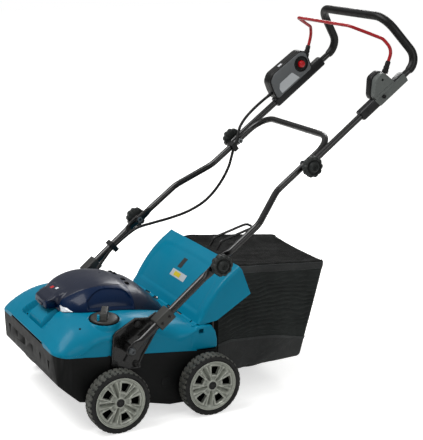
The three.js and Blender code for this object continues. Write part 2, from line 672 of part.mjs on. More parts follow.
// ---- middle handle ---------------------------------------------------------------------
function middleHandle() {
  const run = Math.hypot(upperKnob.y - lowerKnob.y, upperKnob.z - lowerKnob.z);
  const r = handleTubeRadius;
  const start = along(lowerKnob, upperKnob, tongueLength, lowerTubeX);
  const bendOut = along(lowerKnob, upperKnob, 150, lowerTubeX);
  const bendIn = along(lowerKnob, upperKnob, 262, middleTubeX);
  const top = along(lowerKnob, upperKnob, run + 108, middleTubeX);
  const corners = [start, bendOut, bendIn, top];
  const flip = corners.map((p) => at(-p.x, p.y, p.z)).reverse();
  const path = bent([...corners, ...flip], [60, 60, 62, 62, 60, 60], 3);
  const x = lowerTubeX;
  const tongue = strip(lowerKnob, upperKnob, -13, tongueLength + 4, 22,
    x - gap / 2 - tongueThickness, x - gap / 2);
  const studs = [bar(-300, 300, lowerKnob.y, lowerKnob.z, studRadius + gap, 16),
    bar(-300, 300, upperKnob.y, upperKnob.z, studRadius + gap, 16)];
  return studs.reduce((rest, hole) => rest.subtract(hole),
    join([tube(path, r, 10), tongue, mirrored(tongue)]));
}
add('middle_handle', middleHandle(), blackTube);

// ---- upper handle ----------------------------------------------------------------------
const upperTurn = at(208, 936, 895);
const upperCorner = at(165, 846, 1014);
function upperPath() {
  const back = { y: upperTurn.y, z: upperTurn.z };
  const foot = along(upperKnob, back, -14, upperTubeX);
  return bent([foot, upperTurn, upperCorner, at(-165, 846, 1014), at(-208, 936, 895),
    at(-upperTubeX, foot.y, foot.z)], [42, 58, 58, 42], 4);
}
const upperRoute = upperPath();
const gripFrom = 3;
const gripTo = upperRoute.length - 1 - gripFrom;
function upperHandle() {
  return tube(upperRoute, handleTubeRadius, 10)
    .subtract(bar(-300, 300, upperKnob.y, upperKnob.z, studRadius + gap, 16));
}
add('upper_handle', upperHandle(), blackTube);
function handleGrip() {
  const route = upperRoute.slice(gripFrom, gripTo + 1);
  const longer = upperRoute.slice(gripFrom - 1, gripTo + 2);
  return tube(route, gripRadius, 10).subtract(tube(longer, handleTubeRadius + gap, 10));
}
add('handle_grip', handleGrip(), foam);

// The sleeves that carry the switch and the lever, drawn in the plane of the handle's leg.
const legAngle = Math.atan2(upperTurn.z - upperKnob.z, upperTurn.y - upperKnob.y);
const legLength = (y) => (y - upperKnob.y) / Math.cos(legAngle);
function alongLeg(points, x0, x1) {
  const cos = Math.cos(legAngle);
  const sin = Math.sin(legAngle);
  const placed = points.map(([s, n]) => [upperKnob.y + s * cos - n * sin, upperKnob.z + s * sin + n * cos]);
  return sideSlab(placed, x0, x1);
}
const legX = (s) => upperTubeX + ((upperTurn.x - upperTubeX) * s) / legLength(upperTurn.y);
const legTunnel = tube(upperRoute.slice(0, 2), handleTubeRadius + gap, 12);
const sleeveHalf = 14;

// A housing on a leg: a square sleeve round the tube, and a body of the given outline over it.
function legHousing(from, to, bodyPoints, x) {
  const sleeve = alongLeg([[from, -sleeveHalf], [to, -sleeveHalf], [to, sleeveHalf], [from, sleeveHalf]],
    x - sleeveHalf, x + sleeveHalf);
  return sleeve.add(alongLeg(bodyPoints, x - 21, x + 21)).subtract(legTunnel);
}
const switchX = legX(250);
const holderX = legX(296);
const glandSpot = { s: 160, n: 32 };
const buttonSpot = { s: 298, n: 46 };
const faceX = switchX - 21;       // the switch box's face, which looks across the handle

function switchBox() {
  const gland = alongLeg([[glandSpot.s, 27], [178, 22], [178, 42], [glandSpot.s, 37]],
    switchX - 5, switchX + 5);
  return legHousing(168, 366, [[172, 10], [174, 40], [182, 70], [203, 84], [318, 80], [334, 66], [330, 46],
    [322, 10]], switchX).add(gland);
}

function leverHolder() {
  return legHousing(202, 373, [[256, 10], [256, 26], [288, 66], [322, 64], [336, 10]], holderX);
}

function legPoint(s, n) {
  return { y: upperKnob.y + s * Math.cos(legAngle) - n * Math.sin(legAngle),
    z: upperKnob.z + s * Math.sin(legAngle) + n * Math.cos(legAngle) };
}
const button = legPoint(buttonSpot.s, buttonSpot.n);

// ---- bail, boots and lock-off button ---------------------------------------------------
function bailRoute() {
  const near = [at(208, bailPivot.y, bailPivot.z), at(212, 842, 930), at(190, 826, 958), at(138, 750, 992)];
  return bent([...near, ...near.map((p) => at(-p.x, p.y, p.z)).reverse()], [24, 18, 24, 24, 18, 24], 2);
}
const bailPath = bailRoute();
function bail() {
  const pin = bar(203, 214, bailPivot.y, bailPivot.z, 6, 16);
  return join([tube(bailPath, bailRadius, 8), pin, mirrored(pin)]);
}
// The room that the bail's leg sweeps in its housing, from rest to the pulled position.
function bailSlot() {
  const margin = bailRadius + 1.4;
  const reach = 95;
  const rest = Math.atan2(930 - bailPivot.z, 842 - bailPivot.y);
  const pulled = rest - (28 * Math.PI) / 180;
  const corner = (angle, side, distance) => [
    bailPivot.y + distance * Math.cos(angle) - side * margin * Math.sin(angle),
    bailPivot.z + distance * Math.sin(angle) + side * margin * Math.cos(angle)];
  const wedge = [corner(rest, 1, -2), corner(rest, 1, reach), corner(pulled, -1, reach), corner(pulled, -1, -2)];
  return sideSlab(wedge, 202.5, 217.5).add(bar(201, 216, bailPivot.y, bailPivot.z, 8.3, 16));
}
const bailRoom = bailSlot();

const buttonWell = bar(faceX - 12, faceX + 14, button.y, button.z, 13, 24);
add('switch_box', mirrored(switchBox().subtract(bailRoom).subtract(buttonWell)), darkGrey);
add('lever_holder', leverHolder().subtract(bailRoom), lightGrey);
add('bail_lever', bail(), red);
add('lock_button', mirrored(bar(faceX - 5, faceX + 7, button.y, button.z, 11, 24)), red);

// ---- switch cable ----------------------------------------------------------------------
// It leaves the deck, is clipped to the right lower tube, hangs in a loop past the fold,
// is clipped again below the upper knob, and goes up into the switch box.
const lowerClip = along(bracketBolt, lowerKnob, 205, -242.5);
const upperClip = at(-179, 566, 619);
const lowerTubeDirection = along(bracketBolt, lowerKnob, 206, -242.5).sub(lowerClip).normalize();
const upperClipDirection = at(0, 0.4, 0.92).normalize();
const cableGap = gap / 2;
const glandAt = at(-190, 125, 282);

// A band round a tube, with a second hole beside it for the cable.
function clip(band, tubeLine, tubeRadius, cableCentre, direction) {
  const cableLine = [-20, 20].map((d) => cableCentre.clone().addScaledVector(direction, d));
  return band.subtract(tube(tubeLine, tubeRadius + gap, 16))
    .subtract(tube(cableLine, cableRadius + 2 * gap, 12));
}
const lowerBand = mirrored(strip(bracketBolt, lowerKnob, 198, 212, 29, 237, lowerTubeX + 14));
const lowerLine = [190, 220].map((d) => along(bracketBolt, lowerKnob, d, -lowerTubeX));
add('lower_cable_clip', clip(lowerBand, lowerLine, lowerTubeRadius, lowerClip, lowerTubeDirection),
  blackPlastic);
const upperBand = mirrored(strip(lowerKnob, upperKnob, 338, 352, 25, 173, middleTubeX + 12));
const upperLine = [330, 360].map((d) => along(lowerKnob, upperKnob, d, -middleTubeX));
add('upper_cable_clip', clip(upperBand, upperLine, handleTubeRadius, upperClip, upperClipDirection),
  blackPlastic);

const glandCone = new THREE.CylinderGeometry(6, 8.5, 26, 16).rotateX(Math.PI / 2)
  .translate(glandAt.x, glandAt.y, glandAt.z - 13);
add('cable_gland', solid(glandCone).subtract(aboveCover), rubber);

function cable(points, steps) {
  const curve = new THREE.CatmullRomCurve3(points, false, 'centripetal');
  return tube(curve.getSpacedPoints(steps), cableRadius, 8);
}
const from = (clipCentre, direction, distance) => clipCentre.clone().addScaledVector(direction, distance);
const deckRoute = [at(glandAt.x, glandAt.y, glandAt.z + 2 * gap), at(-190, 125.5, 293), at(-212, 153, 312),
  from(lowerClip, lowerTubeDirection, -12), from(lowerClip, lowerTubeDirection, -cableGap)];
const loopRoute = [from(lowerClip, lowerTubeDirection, cableGap), from(lowerClip, lowerTubeDirection, 12),
  at(-237, 246, 376), at(-232, 272, 392), at(-225, 319, 403), at(-218, 374, 414), at(-210, 431, 431),
  at(-204, 484, 460), at(-198, 526, 506), at(-188, 550, 556),
  from(upperClip, upperClipDirection, -14), from(upperClip, upperClipDirection, -cableGap)];
const glandEnd = legPoint(glandSpot.s - gap, glandSpot.n);
const glandLead = legPoint(glandSpot.s - 12, glandSpot.n + 1);
const upperCableRoute = [from(upperClip, upperClipDirection, cableGap),
  from(upperClip, upperClipDirection, 14), at(-186, 580, 652), at(-196, 592, 672),
  at(-203, 612, 694), at(-207, 643, 720), at(-switchX, glandLead.y, glandLead.z),
  at(-switchX, glandEnd.y, glandEnd.z)];
add('deck_cable', cable(deckRoute, 11), rubber);
add('loop_cable', cable(loopRoute, 28), rubber);
add('upper_cable', cable(upperCableRoute, 14), rubber);

// ---- knobs -----------------------------------------------------------------------------
// A scalloped hand knob on a stud along X, at the outside of a joint between two tubes.
function knob(innerX, thickness, studFrom, spot) {
  const lobes = 10;
  const rimPoints = Array.from({ length: lobes * 3 }, (_, i) => {
    const angle = (2 * Math.PI * i) / (lobes * 3);
    const radius = knobRadius - 1.6 + 1.6 * Math.cos(angle * lobes);
    return [spot.y + radius * Math.cos(angle), spot.z + radius * Math.sin(angle)];
  });
  const head = sideSlab(rimPoints, innerX, innerX + thickness);
  const boss = bar(innerX + thickness - 1, innerX + thickness + 5, spot.y, spot.z, 13, 20);
  const nut = bar(studFrom, studFrom + 6, spot.y, spot.z, 8, 6);
  return join([head, boss, nut, bar(studFrom, innerX + 2, spot.y, spot.z, studRadius, 16)]);
}
const lowerKnobX = lowerTubeX + lowerTubeRadius + 2;
const upperKnobX = upperTubeX + handleTubeRadius + gap;
for (const [hand, mirror] of [['left', false], ['right', true]]) {
  const place = (shape) => (mirror ? mirrored(shape) : shape);
  const lower = knob(lowerKnobX, 20, lowerTubeX - tongueThickness - 8, lowerKnob);
  const upper = knob(upperKnobX, 18, middleTubeX - handleTubeRadius - 7, upperKnob);
  add(`lower_knob_${hand}`, place(lower), blackPlastic);
  add(`upper_knob_${hand}`, place(upper), blackPlastic);
}

export default machine;
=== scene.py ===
"""Looks of a cordless lawn dethatcher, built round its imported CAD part.

Sizes are in millimetres, measured from the front axle's middle on the ground: +X is the
operator's left, the nose points along -Y, +Z is up. row() turns them into the row frame.
"""
import json
from math import atan2, copysign, cos, degrees, dist, exp, hypot, pi, radians, sin, sqrt, tan

import bmesh
import bpy
from mathutils import Matrix, Vector, noise

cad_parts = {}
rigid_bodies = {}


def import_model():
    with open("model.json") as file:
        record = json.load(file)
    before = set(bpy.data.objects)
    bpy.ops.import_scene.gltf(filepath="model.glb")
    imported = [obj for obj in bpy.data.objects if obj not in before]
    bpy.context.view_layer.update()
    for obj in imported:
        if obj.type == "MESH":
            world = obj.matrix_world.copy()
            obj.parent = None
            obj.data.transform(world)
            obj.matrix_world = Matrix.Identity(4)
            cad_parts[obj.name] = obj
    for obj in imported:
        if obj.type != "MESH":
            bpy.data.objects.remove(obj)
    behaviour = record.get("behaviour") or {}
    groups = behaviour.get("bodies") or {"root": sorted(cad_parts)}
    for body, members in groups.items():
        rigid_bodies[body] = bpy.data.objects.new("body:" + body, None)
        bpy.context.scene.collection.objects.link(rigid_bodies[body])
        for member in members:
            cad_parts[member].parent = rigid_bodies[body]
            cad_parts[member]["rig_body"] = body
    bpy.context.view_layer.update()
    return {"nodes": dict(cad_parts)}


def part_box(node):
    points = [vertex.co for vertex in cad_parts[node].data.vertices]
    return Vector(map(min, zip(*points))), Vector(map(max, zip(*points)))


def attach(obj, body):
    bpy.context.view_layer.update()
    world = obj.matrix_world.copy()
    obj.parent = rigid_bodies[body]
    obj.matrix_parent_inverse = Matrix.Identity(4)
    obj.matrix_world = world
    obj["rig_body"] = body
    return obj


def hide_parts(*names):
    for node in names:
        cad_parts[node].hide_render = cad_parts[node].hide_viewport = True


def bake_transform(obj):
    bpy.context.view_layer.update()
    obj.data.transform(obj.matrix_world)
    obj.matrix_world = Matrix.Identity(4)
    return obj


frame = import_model()

tyre_low, tyre_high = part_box("front_left_tyre")
AXLE_Y = (tyre_low.y + tyre_high.y) / 2
MM = 0.001
TURN = 2 * pi
HANDS = (("left", 1), ("right", -1))


def row(point):
    """A point in millimetres from the front axle, as a point in the row frame."""
    return Vector((point[0] * MM, point[1] * MM + AXLE_Y, point[2] * MM))


# ---- camera ----------------------------------------------------------------------------
def make_camera():
    """The photo's view of the machine: place, direction and lens."""
    azimuth, elevation = radians(63.32), radians(14.51)
    back = Vector((sin(azimuth) * cos(elevation), -cos(azimuth) * cos(elevation),
                   sin(elevation)))
    data = bpy.data.cameras.new("camera")
    data.sensor_width = 36
    data.lens = 100.43
    camera = bpy.data.objects.new("camera", data)
    camera.location = row((2981.5, -1099.2, 1317.7))
    camera.rotation_mode = "QUATERNION"
    camera.rotation_quaternion = (-back).to_track_quat("-Z", "Y")
    data.clip_start, data.clip_end = 0.1, 50
    bpy.context.scene.collection.objects.link(camera)
    bpy.context.scene.camera = camera


make_camera()


# ---- curves and profiles ---------------------------------------------------------------
def smooth(pairs):
    """A smooth curve through (position, value) pairs, level beyond its ends."""
    def value(at):
        last = len(pairs) - 1
        t = min(max(at, pairs[0][0]), pairs[last][0])
        i = 0
        while i < last - 1 and t > pairs[i + 1][0]:
            i += 1

        def slope(k):
            a, b = max(k - 1, 0), min(k + 1, last)
            return (pairs[b][1] - pairs[a][1]) / (pairs[b][0] - pairs[a][0])
        (t0, v0), (t1, v1) = pairs[i], pairs[i + 1]
        h = t1 - t0
        s = (t - t0) / h
        return (v0 * (1 + 2 * s) * (1 - s) ** 2 + v1 * s * s * (3 - 2 * s)
                + slope(i) * h * s * (1 - s) ** 2 - slope(i + 1) * h * s * s * (1 - s))
    return value


def ease(low, high, value):
    """0 up to low, 1 from high on, and a soft step between; low may be the larger."""
    t = min(max((value - low) / (high - low), 0), 1)
    return t * t * (3 - 2 * t)


def bump_at(value, centre, width):
    """A rounded bump of height 1 at centre."""
    return exp(-((value - centre) / width) ** 2)


def superellipse(s, power):
    """Height share of a dome at share s of its half width."""
    return (1 - min(abs(s), 1) ** power) ** (1 / power)


def lerp(a, b, t):
    """The value at share t of the way from a to b."""
    return a + (b - a) * t


def bent(corners, radii, steps=10):
    """Straight runs between corner points, with each inner corner bent to its own radius."""
    corners = [Vector(c) for c in corners]
    points = [corners[0]]
    for i in range(1, len(corners) - 1):
        corner = corners[i]
        radius = radii[i - 1]
        before = (corner - corners[i - 1]).normalized()
        after = (corners[i + 1] - corner).normalized()
        turn = before.angle(after)
        axis = before.cross(after).normalized()
        start = corner - before * radius * tan(turn / 2)
        centre = start + axis.cross(before) * radius
        for k in range(steps + 1):
            points.append(Matrix.Rotation(turn * k / steps, 3, axis) @ (start - centre) + centre)
    points.append(corners[-1])
    return points


def catmull(points, spacing):
    """A centripetal curve through the points, sampled at an even spacing."""
    points = [Vector(p) for p in points]
    ends = [points[0] * 2 - points[1]] + points + [points[-1] * 2 - points[-2]]
    dense = []
    for i in range(1, len(ends) - 2):
        p = ends[i - 1:i + 3]
        t = [0.0]
        for a, b in zip(p, p[1:]):
            t.append(t[-1] + sqrt((b - a).length))
        for k in range(24):
            u = lerp(t[1], t[2], k / 24)
            a = [p[j] * ((t[j + 1] - u) / (t[j + 1] - t[j])) + p[j + 1] * ((u - t[j]) / (t[j + 1] - t[j]))
                 for j in range(3)]
            b = [a[j] * ((t[j + 2] - u) / (t[j + 2] - t[j])) + a[j + 1] * ((u - t[j]) / (t[j + 2] - t[j]))
                 for j in range(2)]
            dense.append(b[0] * ((t[2] - u) / (t[2] - t[1])) + b[1] * ((u - t[1]) / (t[2] - t[1])))
    dense.append(points[-1])
    return resampled(dense, spacing)


def run_length(points):
    """The length of a line of points."""
    return sum((b - a).length for a, b in zip(points, points[1:]))


def resampled(points, spacing):
    """The same line with points at an even spacing."""
    total = run_length(points)
    count = max(2, round(total / spacing))
    out, i, walked = [points[0].copy()], 0, 0.0
    for k in range(1, count):
        goal = total * k / count
        while walked + (points[i + 1] - points[i]).length < goal:
            walked += (points[i + 1] - points[i]).length
            i += 1
        step = (points[i + 1] - points[i]).length
        out.append(points[i].lerp(points[i + 1], (goal - walked) / step))
    out.append(points[-1].copy())
    return out


def mirror(points, side=-1):
    """The points with X taken to the other hand when side is -1."""
    return [(side * p[0], p[1], p[2]) for p in points]


def mirrored(shape, side):
    """A shape as it is for side 1, or on the other side of the machine for side -1."""
    return mirror(shape[0], side), shape[1]


# ---- materials -------------------------------------------------------------------------
class Nodes:
    """Adds and links the nodes of one material."""

    def __init__(self, name):
        self.material = bpy.data.materials.new(name)
        self.material.use_nodes = True
        self.tree = self.material.node_tree
        self.shader = self.tree.nodes["Principled BSDF"]
        self.place = self.add("ShaderNodeTexCoord").outputs["Object"]

    def feed(self, node, values):
        """Links a socket, or sets a number or colour, on each named or numbered input."""
        for key, value in values:
            if isinstance(value, bpy.types.NodeSocket):
                self.tree.links.new(value, node.inputs[key])
            else:
                node.inputs[key].default_value = value
        return node

    def add(self, kind, **inputs):
        return self.feed(self.tree.nodes.new(kind), inputs.items())

    def set(self, **inputs):
        """Sets inputs of the shader; an underscore stands for a space."""
        self.feed(self.shader, [(name.replace("_", " "), value) for name, value in inputs.items()])

    def link(self, source, name):
        self.tree.links.new(source, self.shader.inputs[name])

    def noise(self, scale, detail=3.0, roughness=0.5, where=None):
        node = self.add("ShaderNodeTexNoise", Vector=where or self.place, Scale=scale, Detail=detail,
                        Roughness=roughness)
        return node.outputs["Fac"]

    def span(self, value, low, high, start=0.3, end=0.7):
        node = self.add("ShaderNodeMapRange", Value=value)
        self.feed(node, (("From Min", start), ("From Max", end), ("To Min", low), ("To Max", high)))
        return node.outputs["Result"]

    def mix(self, factor, a, b):
        node = self.tree.nodes.new("ShaderNodeMix")
        node.data_type = "RGBA"
        return self.feed(node, ((0, factor), (6, a), (7, b))).outputs[2]

    def math(self, kind, a, b=0.0):
        node = self.tree.nodes.new("ShaderNodeMath")
        node.operation = kind
        return self.feed(node, ((0, a), (1, b))).outputs[0]

    def bump(self, height, depth, strength=1.0, after=None):
        node = self.add("ShaderNodeBump", Height=height, Distance=depth, Strength=strength)
        if after:
            self.tree.links.new(after, node.inputs["Normal"])
        return node.outputs["Normal"]


def colour(text, shift=1.0):
    """An sRGB hex colour as a linear one, made lighter or darker by a factor."""
    parts = [int(text[i:i + 2], 16) / 255 for i in (0, 2, 4)]
    linear = [p / 12.92 if p <= 0.04045 else ((p + 0.055) / 1.055) ** 2.4 for p in parts]
    return tuple(min(p * shift, 1.0) for p in linear) + (1.0,)


LOOKS = {}


def plastic(name, tone, roughness, coat=0.0, grain=0.0, wear=0.25, mottle=0.12, metallic=0.0, dust=0.0,
            specular=0.5, hollows=0.0):
    """Moulded or painted surface: soft mottling, moulding grain, edges made lighter for wear and as a painted
    highlight, painted shade in hollows, dust.
    """
    n = Nodes(name)
    n.set(Metallic=metallic, Specular_IOR_Level=specular, Coat_Weight=coat, Coat_Roughness=0.08)
    base = n.mix(n.span(n.noise(9, 4), 0, 1), colour(tone, 1 - mottle), colour(tone, 1 + mottle))
    # Edges are made lighter: wear on most looks, and a painted highlight on the rim's ridges and the gloss
    # bracket's rim.
    edges = n.span(n.add("ShaderNodeNewGeometry").outputs["Pointiness"], 0, wear, 0.52, 0.6)
    base = n.mix(edges, base, colour(tone, 2.2))
    # Painted shade: concave places (low pointiness) are darkened to stand for the shade in hollows and
    # grooves.
    if hollows:
        sunk = n.span(n.add("ShaderNodeNewGeometry").outputs["Pointiness"], hollows, 0, 0.44, 0.497)
        base = n.mix(sunk, base, colour(tone, 0.08))
    if dust:
        base = n.mix(n.span(n.noise(60, 6, 0.7), 0, dust, 0.5, 0.75), base, colour("8d8a82"))
    n.link(base, "Base Color")
    n.link(n.span(n.noise(35, 5, 0.6), max(roughness - 0.06, 0.02), roughness + 0.08), "Roughness")
    ripple = n.bump(n.noise(55, 2), 0.0003, 0.25)
    if grain:
        ripple = n.bump(n.noise(1400, 2, 0.6), grain * MM, 0.6, ripple)
    n.link(ripple, "Normal")
    return n.material


def brushed(name, tone, roughness):
    """Plated or drawn steel with fine lines and a few stains."""
    n = Nodes(name)
    n.set(Metallic=1.0)
    stretch = n.add("ShaderNodeMapping", Vector=n.place, Scale=(4, 900, 900)).outputs["Vector"]
    lines = n.noise(3, 3, 0.6, stretch)
    n.link(n.mix(n.span(n.noise(25, 5), 0, 0.6, 0.4, 0.8), colour(tone), colour(tone, 0.45)), "Base Color")
    n.link(n.span(lines, roughness - 0.08, roughness + 0.15), "Roughness")
    n.link(n.bump(lines, 0.0001, 0.4), "Normal")
    return n.material


def woven(name, tone, pitch, sheen, roughness=0.85, open_mesh=False):
    """Cloth of crossed threads at a pitch in millimetres, with a soft nap and faded folds."""
    n = Nodes(name)
    n.set(Sheen_Weight=sheen, Sheen_Roughness=0.45, Specular_IOR_Level=0.05)
    split = n.add("ShaderNodeSeparateXYZ", Vector=n.place)
    waves = []
    for axis in "XYZ":
        turns = n.math("MULTIPLY", split.outputs[axis], TURN / (pitch * MM))
        waves.append(n.math("SINE", turns))
    threads = n.math("MAXIMUM", n.math("MAXIMUM", waves[0], waves[1]), waves[2])
    shade = n.mix(n.span(n.noise(7, 5, 0.6), 0, 1), colour(tone, 0.75), colour(tone, 1.35))
    if open_mesh:
        shade = n.mix(n.span(threads, 0.35, 0.0, 0.2, 1.0), shade, colour("050505"))
    n.link(shade, "Base Color")
    n.link(n.span(n.noise(40, 4), roughness - 0.1, roughness + 0.1), "Roughness")
    soft = n.bump(n.noise(26, 5, 0.6), 0.003, 0.35)
    n.link(n.bump(threads, 0.00025, 0.7, soft), "Normal")
    return n.material


def rubbery(name, tone, roughness, pore, depth, dust=0.0):
    """Rubber or foam with pores, and dust that lightens it in patches."""
    n = Nodes(name)
    n.set(Specular_IOR_Level=0.28)
    base = n.mix(n.span(n.noise(14, 5), 0, 1), colour(tone, 0.8), colour(tone, 1.3))
    if dust:
        base = n.mix(n.span(n.noise(34, 6, 0.75), 0, dust, 0.42, 0.72), base, colour("77756e"))
    n.link(base, "Base Color")
    n.link(n.span(n.noise(50, 5), roughness - 0.08, roughness + 0.1), "Roughness")
    n.link(n.bump(n.noise(1000 / pore, 3, 0.6), depth * MM, 0.7), "Normal")
    return n.material


def clear_lens(name):
    """Bright, shiny and nearly white: the white mark and stud, and the painted highlight at the lid's lower
    front corners.
    """
    n = Nodes(name)
    n.set(Coat_Weight=1.0, Roughness=0.12)
    n.link(n.mix(n.span(n.noise(300, 2), 0, 1), colour("c9ccd2"), colour("f1f3f6")), "Base Color")
    return n.material


def add_looks(maker, *rows):
    """Each row: the look's name, the record's slot, the material's name, and what the maker takes."""
    for name, slot, material, values, extra in rows:
        LOOKS[name] = (maker(material, *values, **extra), slot)


add_looks(
    plastic,
    ("teal", "cover_teal", "teal_plastic", ("007390", 0.36),
     dict(coat=0.06, wear=0.1, mottle=0.04, specular=0.1)),
    ("navy", "lid_navy", "navy_plastic", ("001735", 0.3),
     dict(coat=0.14, wear=0.02, mottle=0.06, specular=0.08)),
    ("panel", "panel_grey", "panel_plastic", ("171d2e", 0.32),
     dict(coat=0.1, wear=0.03, mottle=0.06, specular=0.2)),
    ("housing", "housing_black", "housing_plastic", ("0c0d0d", 0.5),
     dict(grain=0.05, wear=0.04, specular=0.13)),
    ("fitting", "fitting_black", "fitting_plastic", ("0d0d0d", 0.36),
     dict(grain=0.03, wear=0.06, specular=0.3)),
    # Bracket plate: its lighter edges are a painted highlight.
    ("gloss", "fitting_black", "gloss_plastic", ("070707", 0.26),
     dict(coat=0.35, grain=0.01, wear=0.3, specular=0.25)),
    ("grey", "moulded_grey", "grey_plastic", ("31312f", 0.42), dict(grain=0.05, wear=0.08, specular=0.3)),
    ("face", "moulded_grey", "switch_face", ("5c5f61", 0.4), dict(grain=0.04, wear=0.08, specular=0.3)),
    ("sleeve", "moulded_grey", "sleeve_plastic", ("121315", 0.34),
     dict(grain=0.02, wear=0.08, specular=0.3)),
    ("holder", "holder_grey", "holder_plastic", ("565a58", 0.42), dict(grain=0.04, wear=0.1, specular=0.3)),
    # Rim: its lighter ridges are a painted highlight and its darker grooves are painted shade.
    ("rim", "rim_silver", "rim_plastic", ("989b92", 0.36),
     dict(grain=0.03, wear=0.5, metallic=0.35, specular=0.4, hollows=0.9)),
    # Knob: painted shade in its hollows.
    ("knob", "fitting_black", "knob_plastic", ("232625", 0.4),
     dict(grain=0.03, wear=0.08, specular=0.25, hollows=0.6)),
    ("paint", "tube_black", "tube_paint", ("060606", 0.27),
     dict(coat=0.25, wear=0.05, mottle=0.2, specular=0.35)),
    ("alloy", "motor_alloy", "motor_alloy", ("5a5d60", 0.5), dict(metallic=0.8, grain=0.1)),
    ("button", "signal_red", "button_red", ("b20e18", 0.26), dict(coat=0.3, wear=0.1, specular=0.3)),
    ("bail", "bail_red", "bail_red", ("960a14", 0.3), dict(coat=0.3, wear=0.1, specular=0.3)),
    # Near black: the battery packs, wheel webs and hinge ears, and painted shade in the screw holes and the
    # gap round the dial.
    ("dark", "fitting_black", "dark_recess", ("030303", 0.7), dict(wear=0.0, specular=0.1)),
    ("label", "holder_grey", "blank_label", ("aeb2b5", 0.5), dict(wear=0.05, mottle=0.05)),
    ("yellow", "holder_grey", "label_yellow_ink", ("c9b52a", 0.45),
     dict(grain=0.02, wear=0.0, specular=0.2)))
add_looks(
    rubbery,
    ("tyre", "tyre_rubber", "tyre_rubber", ("0a0b0b", 0.42, 1.2, 0.03), dict(dust=0.03)),
    ("tread", "tyre_rubber", "tread_rubber", ("3f413d", 0.6, 1.0, 0.1), dict(dust=0.6)),
    ("rubber", "soft_rubber", "soft_rubber", ("0c0c0c", 0.5, 0.8, 0.05), {}),
    ("foam", "grip_foam", "grip_foam", ("060606", 0.42, 0.7, 0.05), {}))
add_looks(
    brushed,
    ("steel", "zinc_steel", "zinc_steel", ("8d9194", 0.34), {}),
    ("bolt", "zinc_steel", "bolt_steel", ("55585a", 0.4), {}))
add_looks(
    woven,
    ("cloth", "bag_fabric", "bag_cloth", ("0c0d0c", 1.1, 0.008, 0.7), {}),
    ("mesh", "bag_fabric", "bag_mesh", ("2c2f2e", 2.4, 0.02, 0.6), dict(open_mesh=True)),
    ("base", "bag_fabric", "bag_base", ("353636", 1.6, 0.03, 0.5), {}),
    # Welt: real piping, made lighter than the cloth as a painted highlight along the seams and the top's near
    # edge.
    ("welt", "bag_fabric", "bag_welt", ("3c3e3e", 0.9, 0.05, 0.6), {}))
add_looks(
    clear_lens,
    ("lens", "panel_grey", "clear_lens", (), {}))


# ---- building pieces -------------------------------------------------------------------
def dress(piece, style, body, *nodes, angle=34):
    """Gives a piece its material, its smooth shading, and the CAD body that it rides on."""
    material, slot = LOOKS[style]
    piece.data.materials.clear()
    piece.data.materials.append(material)
    if piece.type == "MESH":
        piece.data.polygons.foreach_set("use_smooth", [True] * len(piece.data.polygons))
        piece.data.set_sharp_from_angle(angle=radians(angle))
    if body:
        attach(piece, body)
    if nodes:
        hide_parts(*nodes)
    return piece


def raw(name, points, faces, closed=True):
    """A mesh object from points in millimetres."""
    mesh = bpy.data.meshes.new(name)
    mesh.from_pydata([row(p) for p in points], [], faces)
    tidy_mesh = bmesh.new()
    tidy_mesh.from_mesh(mesh)
    bmesh.ops.remove_doubles(tidy_mesh, verts=tidy_mesh.verts, dist=0.00001)
    if closed:
        bmesh.ops.recalc_face_normals(tidy_mesh, faces=tidy_mesh.faces)
    tidy_mesh.to_mesh(mesh)
    tidy_mesh.free()
    piece = bpy.data.objects.new(name, mesh)
    bpy.context.scene.collection.objects.link(piece)
    return piece


def grid(nu, nv, place, wrap=False):
    """Points and faces of a surface: place(u, v) for u and v from 0 to 1."""
    points = [place(i / nu, j / nv) for j in range(nv + 1) for i in range(nu if wrap else nu + 1)]
    width = nu if wrap else nu + 1
    faces = [(j * width + i, j * width + (i + 1) % width, (j + 1) * width + (i + 1) % width,
              (j + 1) * width + i) for j in range(nv) for i in range(nu)]
    return points, faces


def loft(rings, closed_ends=True):
    """A skin over rings of points that all have the same count."""
    width = len(rings[0])
    points = [p for ring in rings for p in ring]
    faces = [(j * width + i, j * width + (i + 1) % width, (j + 1) * width + (i + 1) % width,
              (j + 1) * width + i) for j in range(len(rings) - 1) for i in range(width)]
    if closed_ends:
        faces += [tuple(range(width))[::-1], tuple((len(rings) - 1) * width + i for i in range(width))]
    return points, faces


def side_slab(outline, x0, x1):
    """A side-view outline of (y, z) points, carried from x0 to x1."""
    return loft([[(x0, y, z) for y, z in outline], [(x1, y, z) for y, z in outline]])


def side_shape(outline, x0, x1):
    """side_slab between two X values in either order."""
    return side_slab(outline, min(x0, x1), max(x0, x1))


def box_shape(x0, x1, y0, y1, z0, z1):
    """A box between its limits."""
    return side_shape([(y0, z0), (y1, z0), (y1, z1), (y0, z1)], x0, x1)


def lathe(profile, y, z, sides=64, wobble=None):
    """A solid turned about the X axis from (x, radius) pairs. wobble(angle, x, r) moves a point."""
    def ring(x, r):
        out = []
        for k in range(sides):
            angle = TURN * k / sides
            px, pr = wobble(angle, x, r) if wobble else (x, r)
            out.append((px, y + pr * cos(angle), z + pr * sin(angle)))
        return out
    hollow = profile[0][1] > 1 and profile[-1][1] > 1
    rings = [ring(x, r) for x, r in (profile + profile[:1] if hollow else profile)]
    return loft(rings, closed_ends=not hollow)


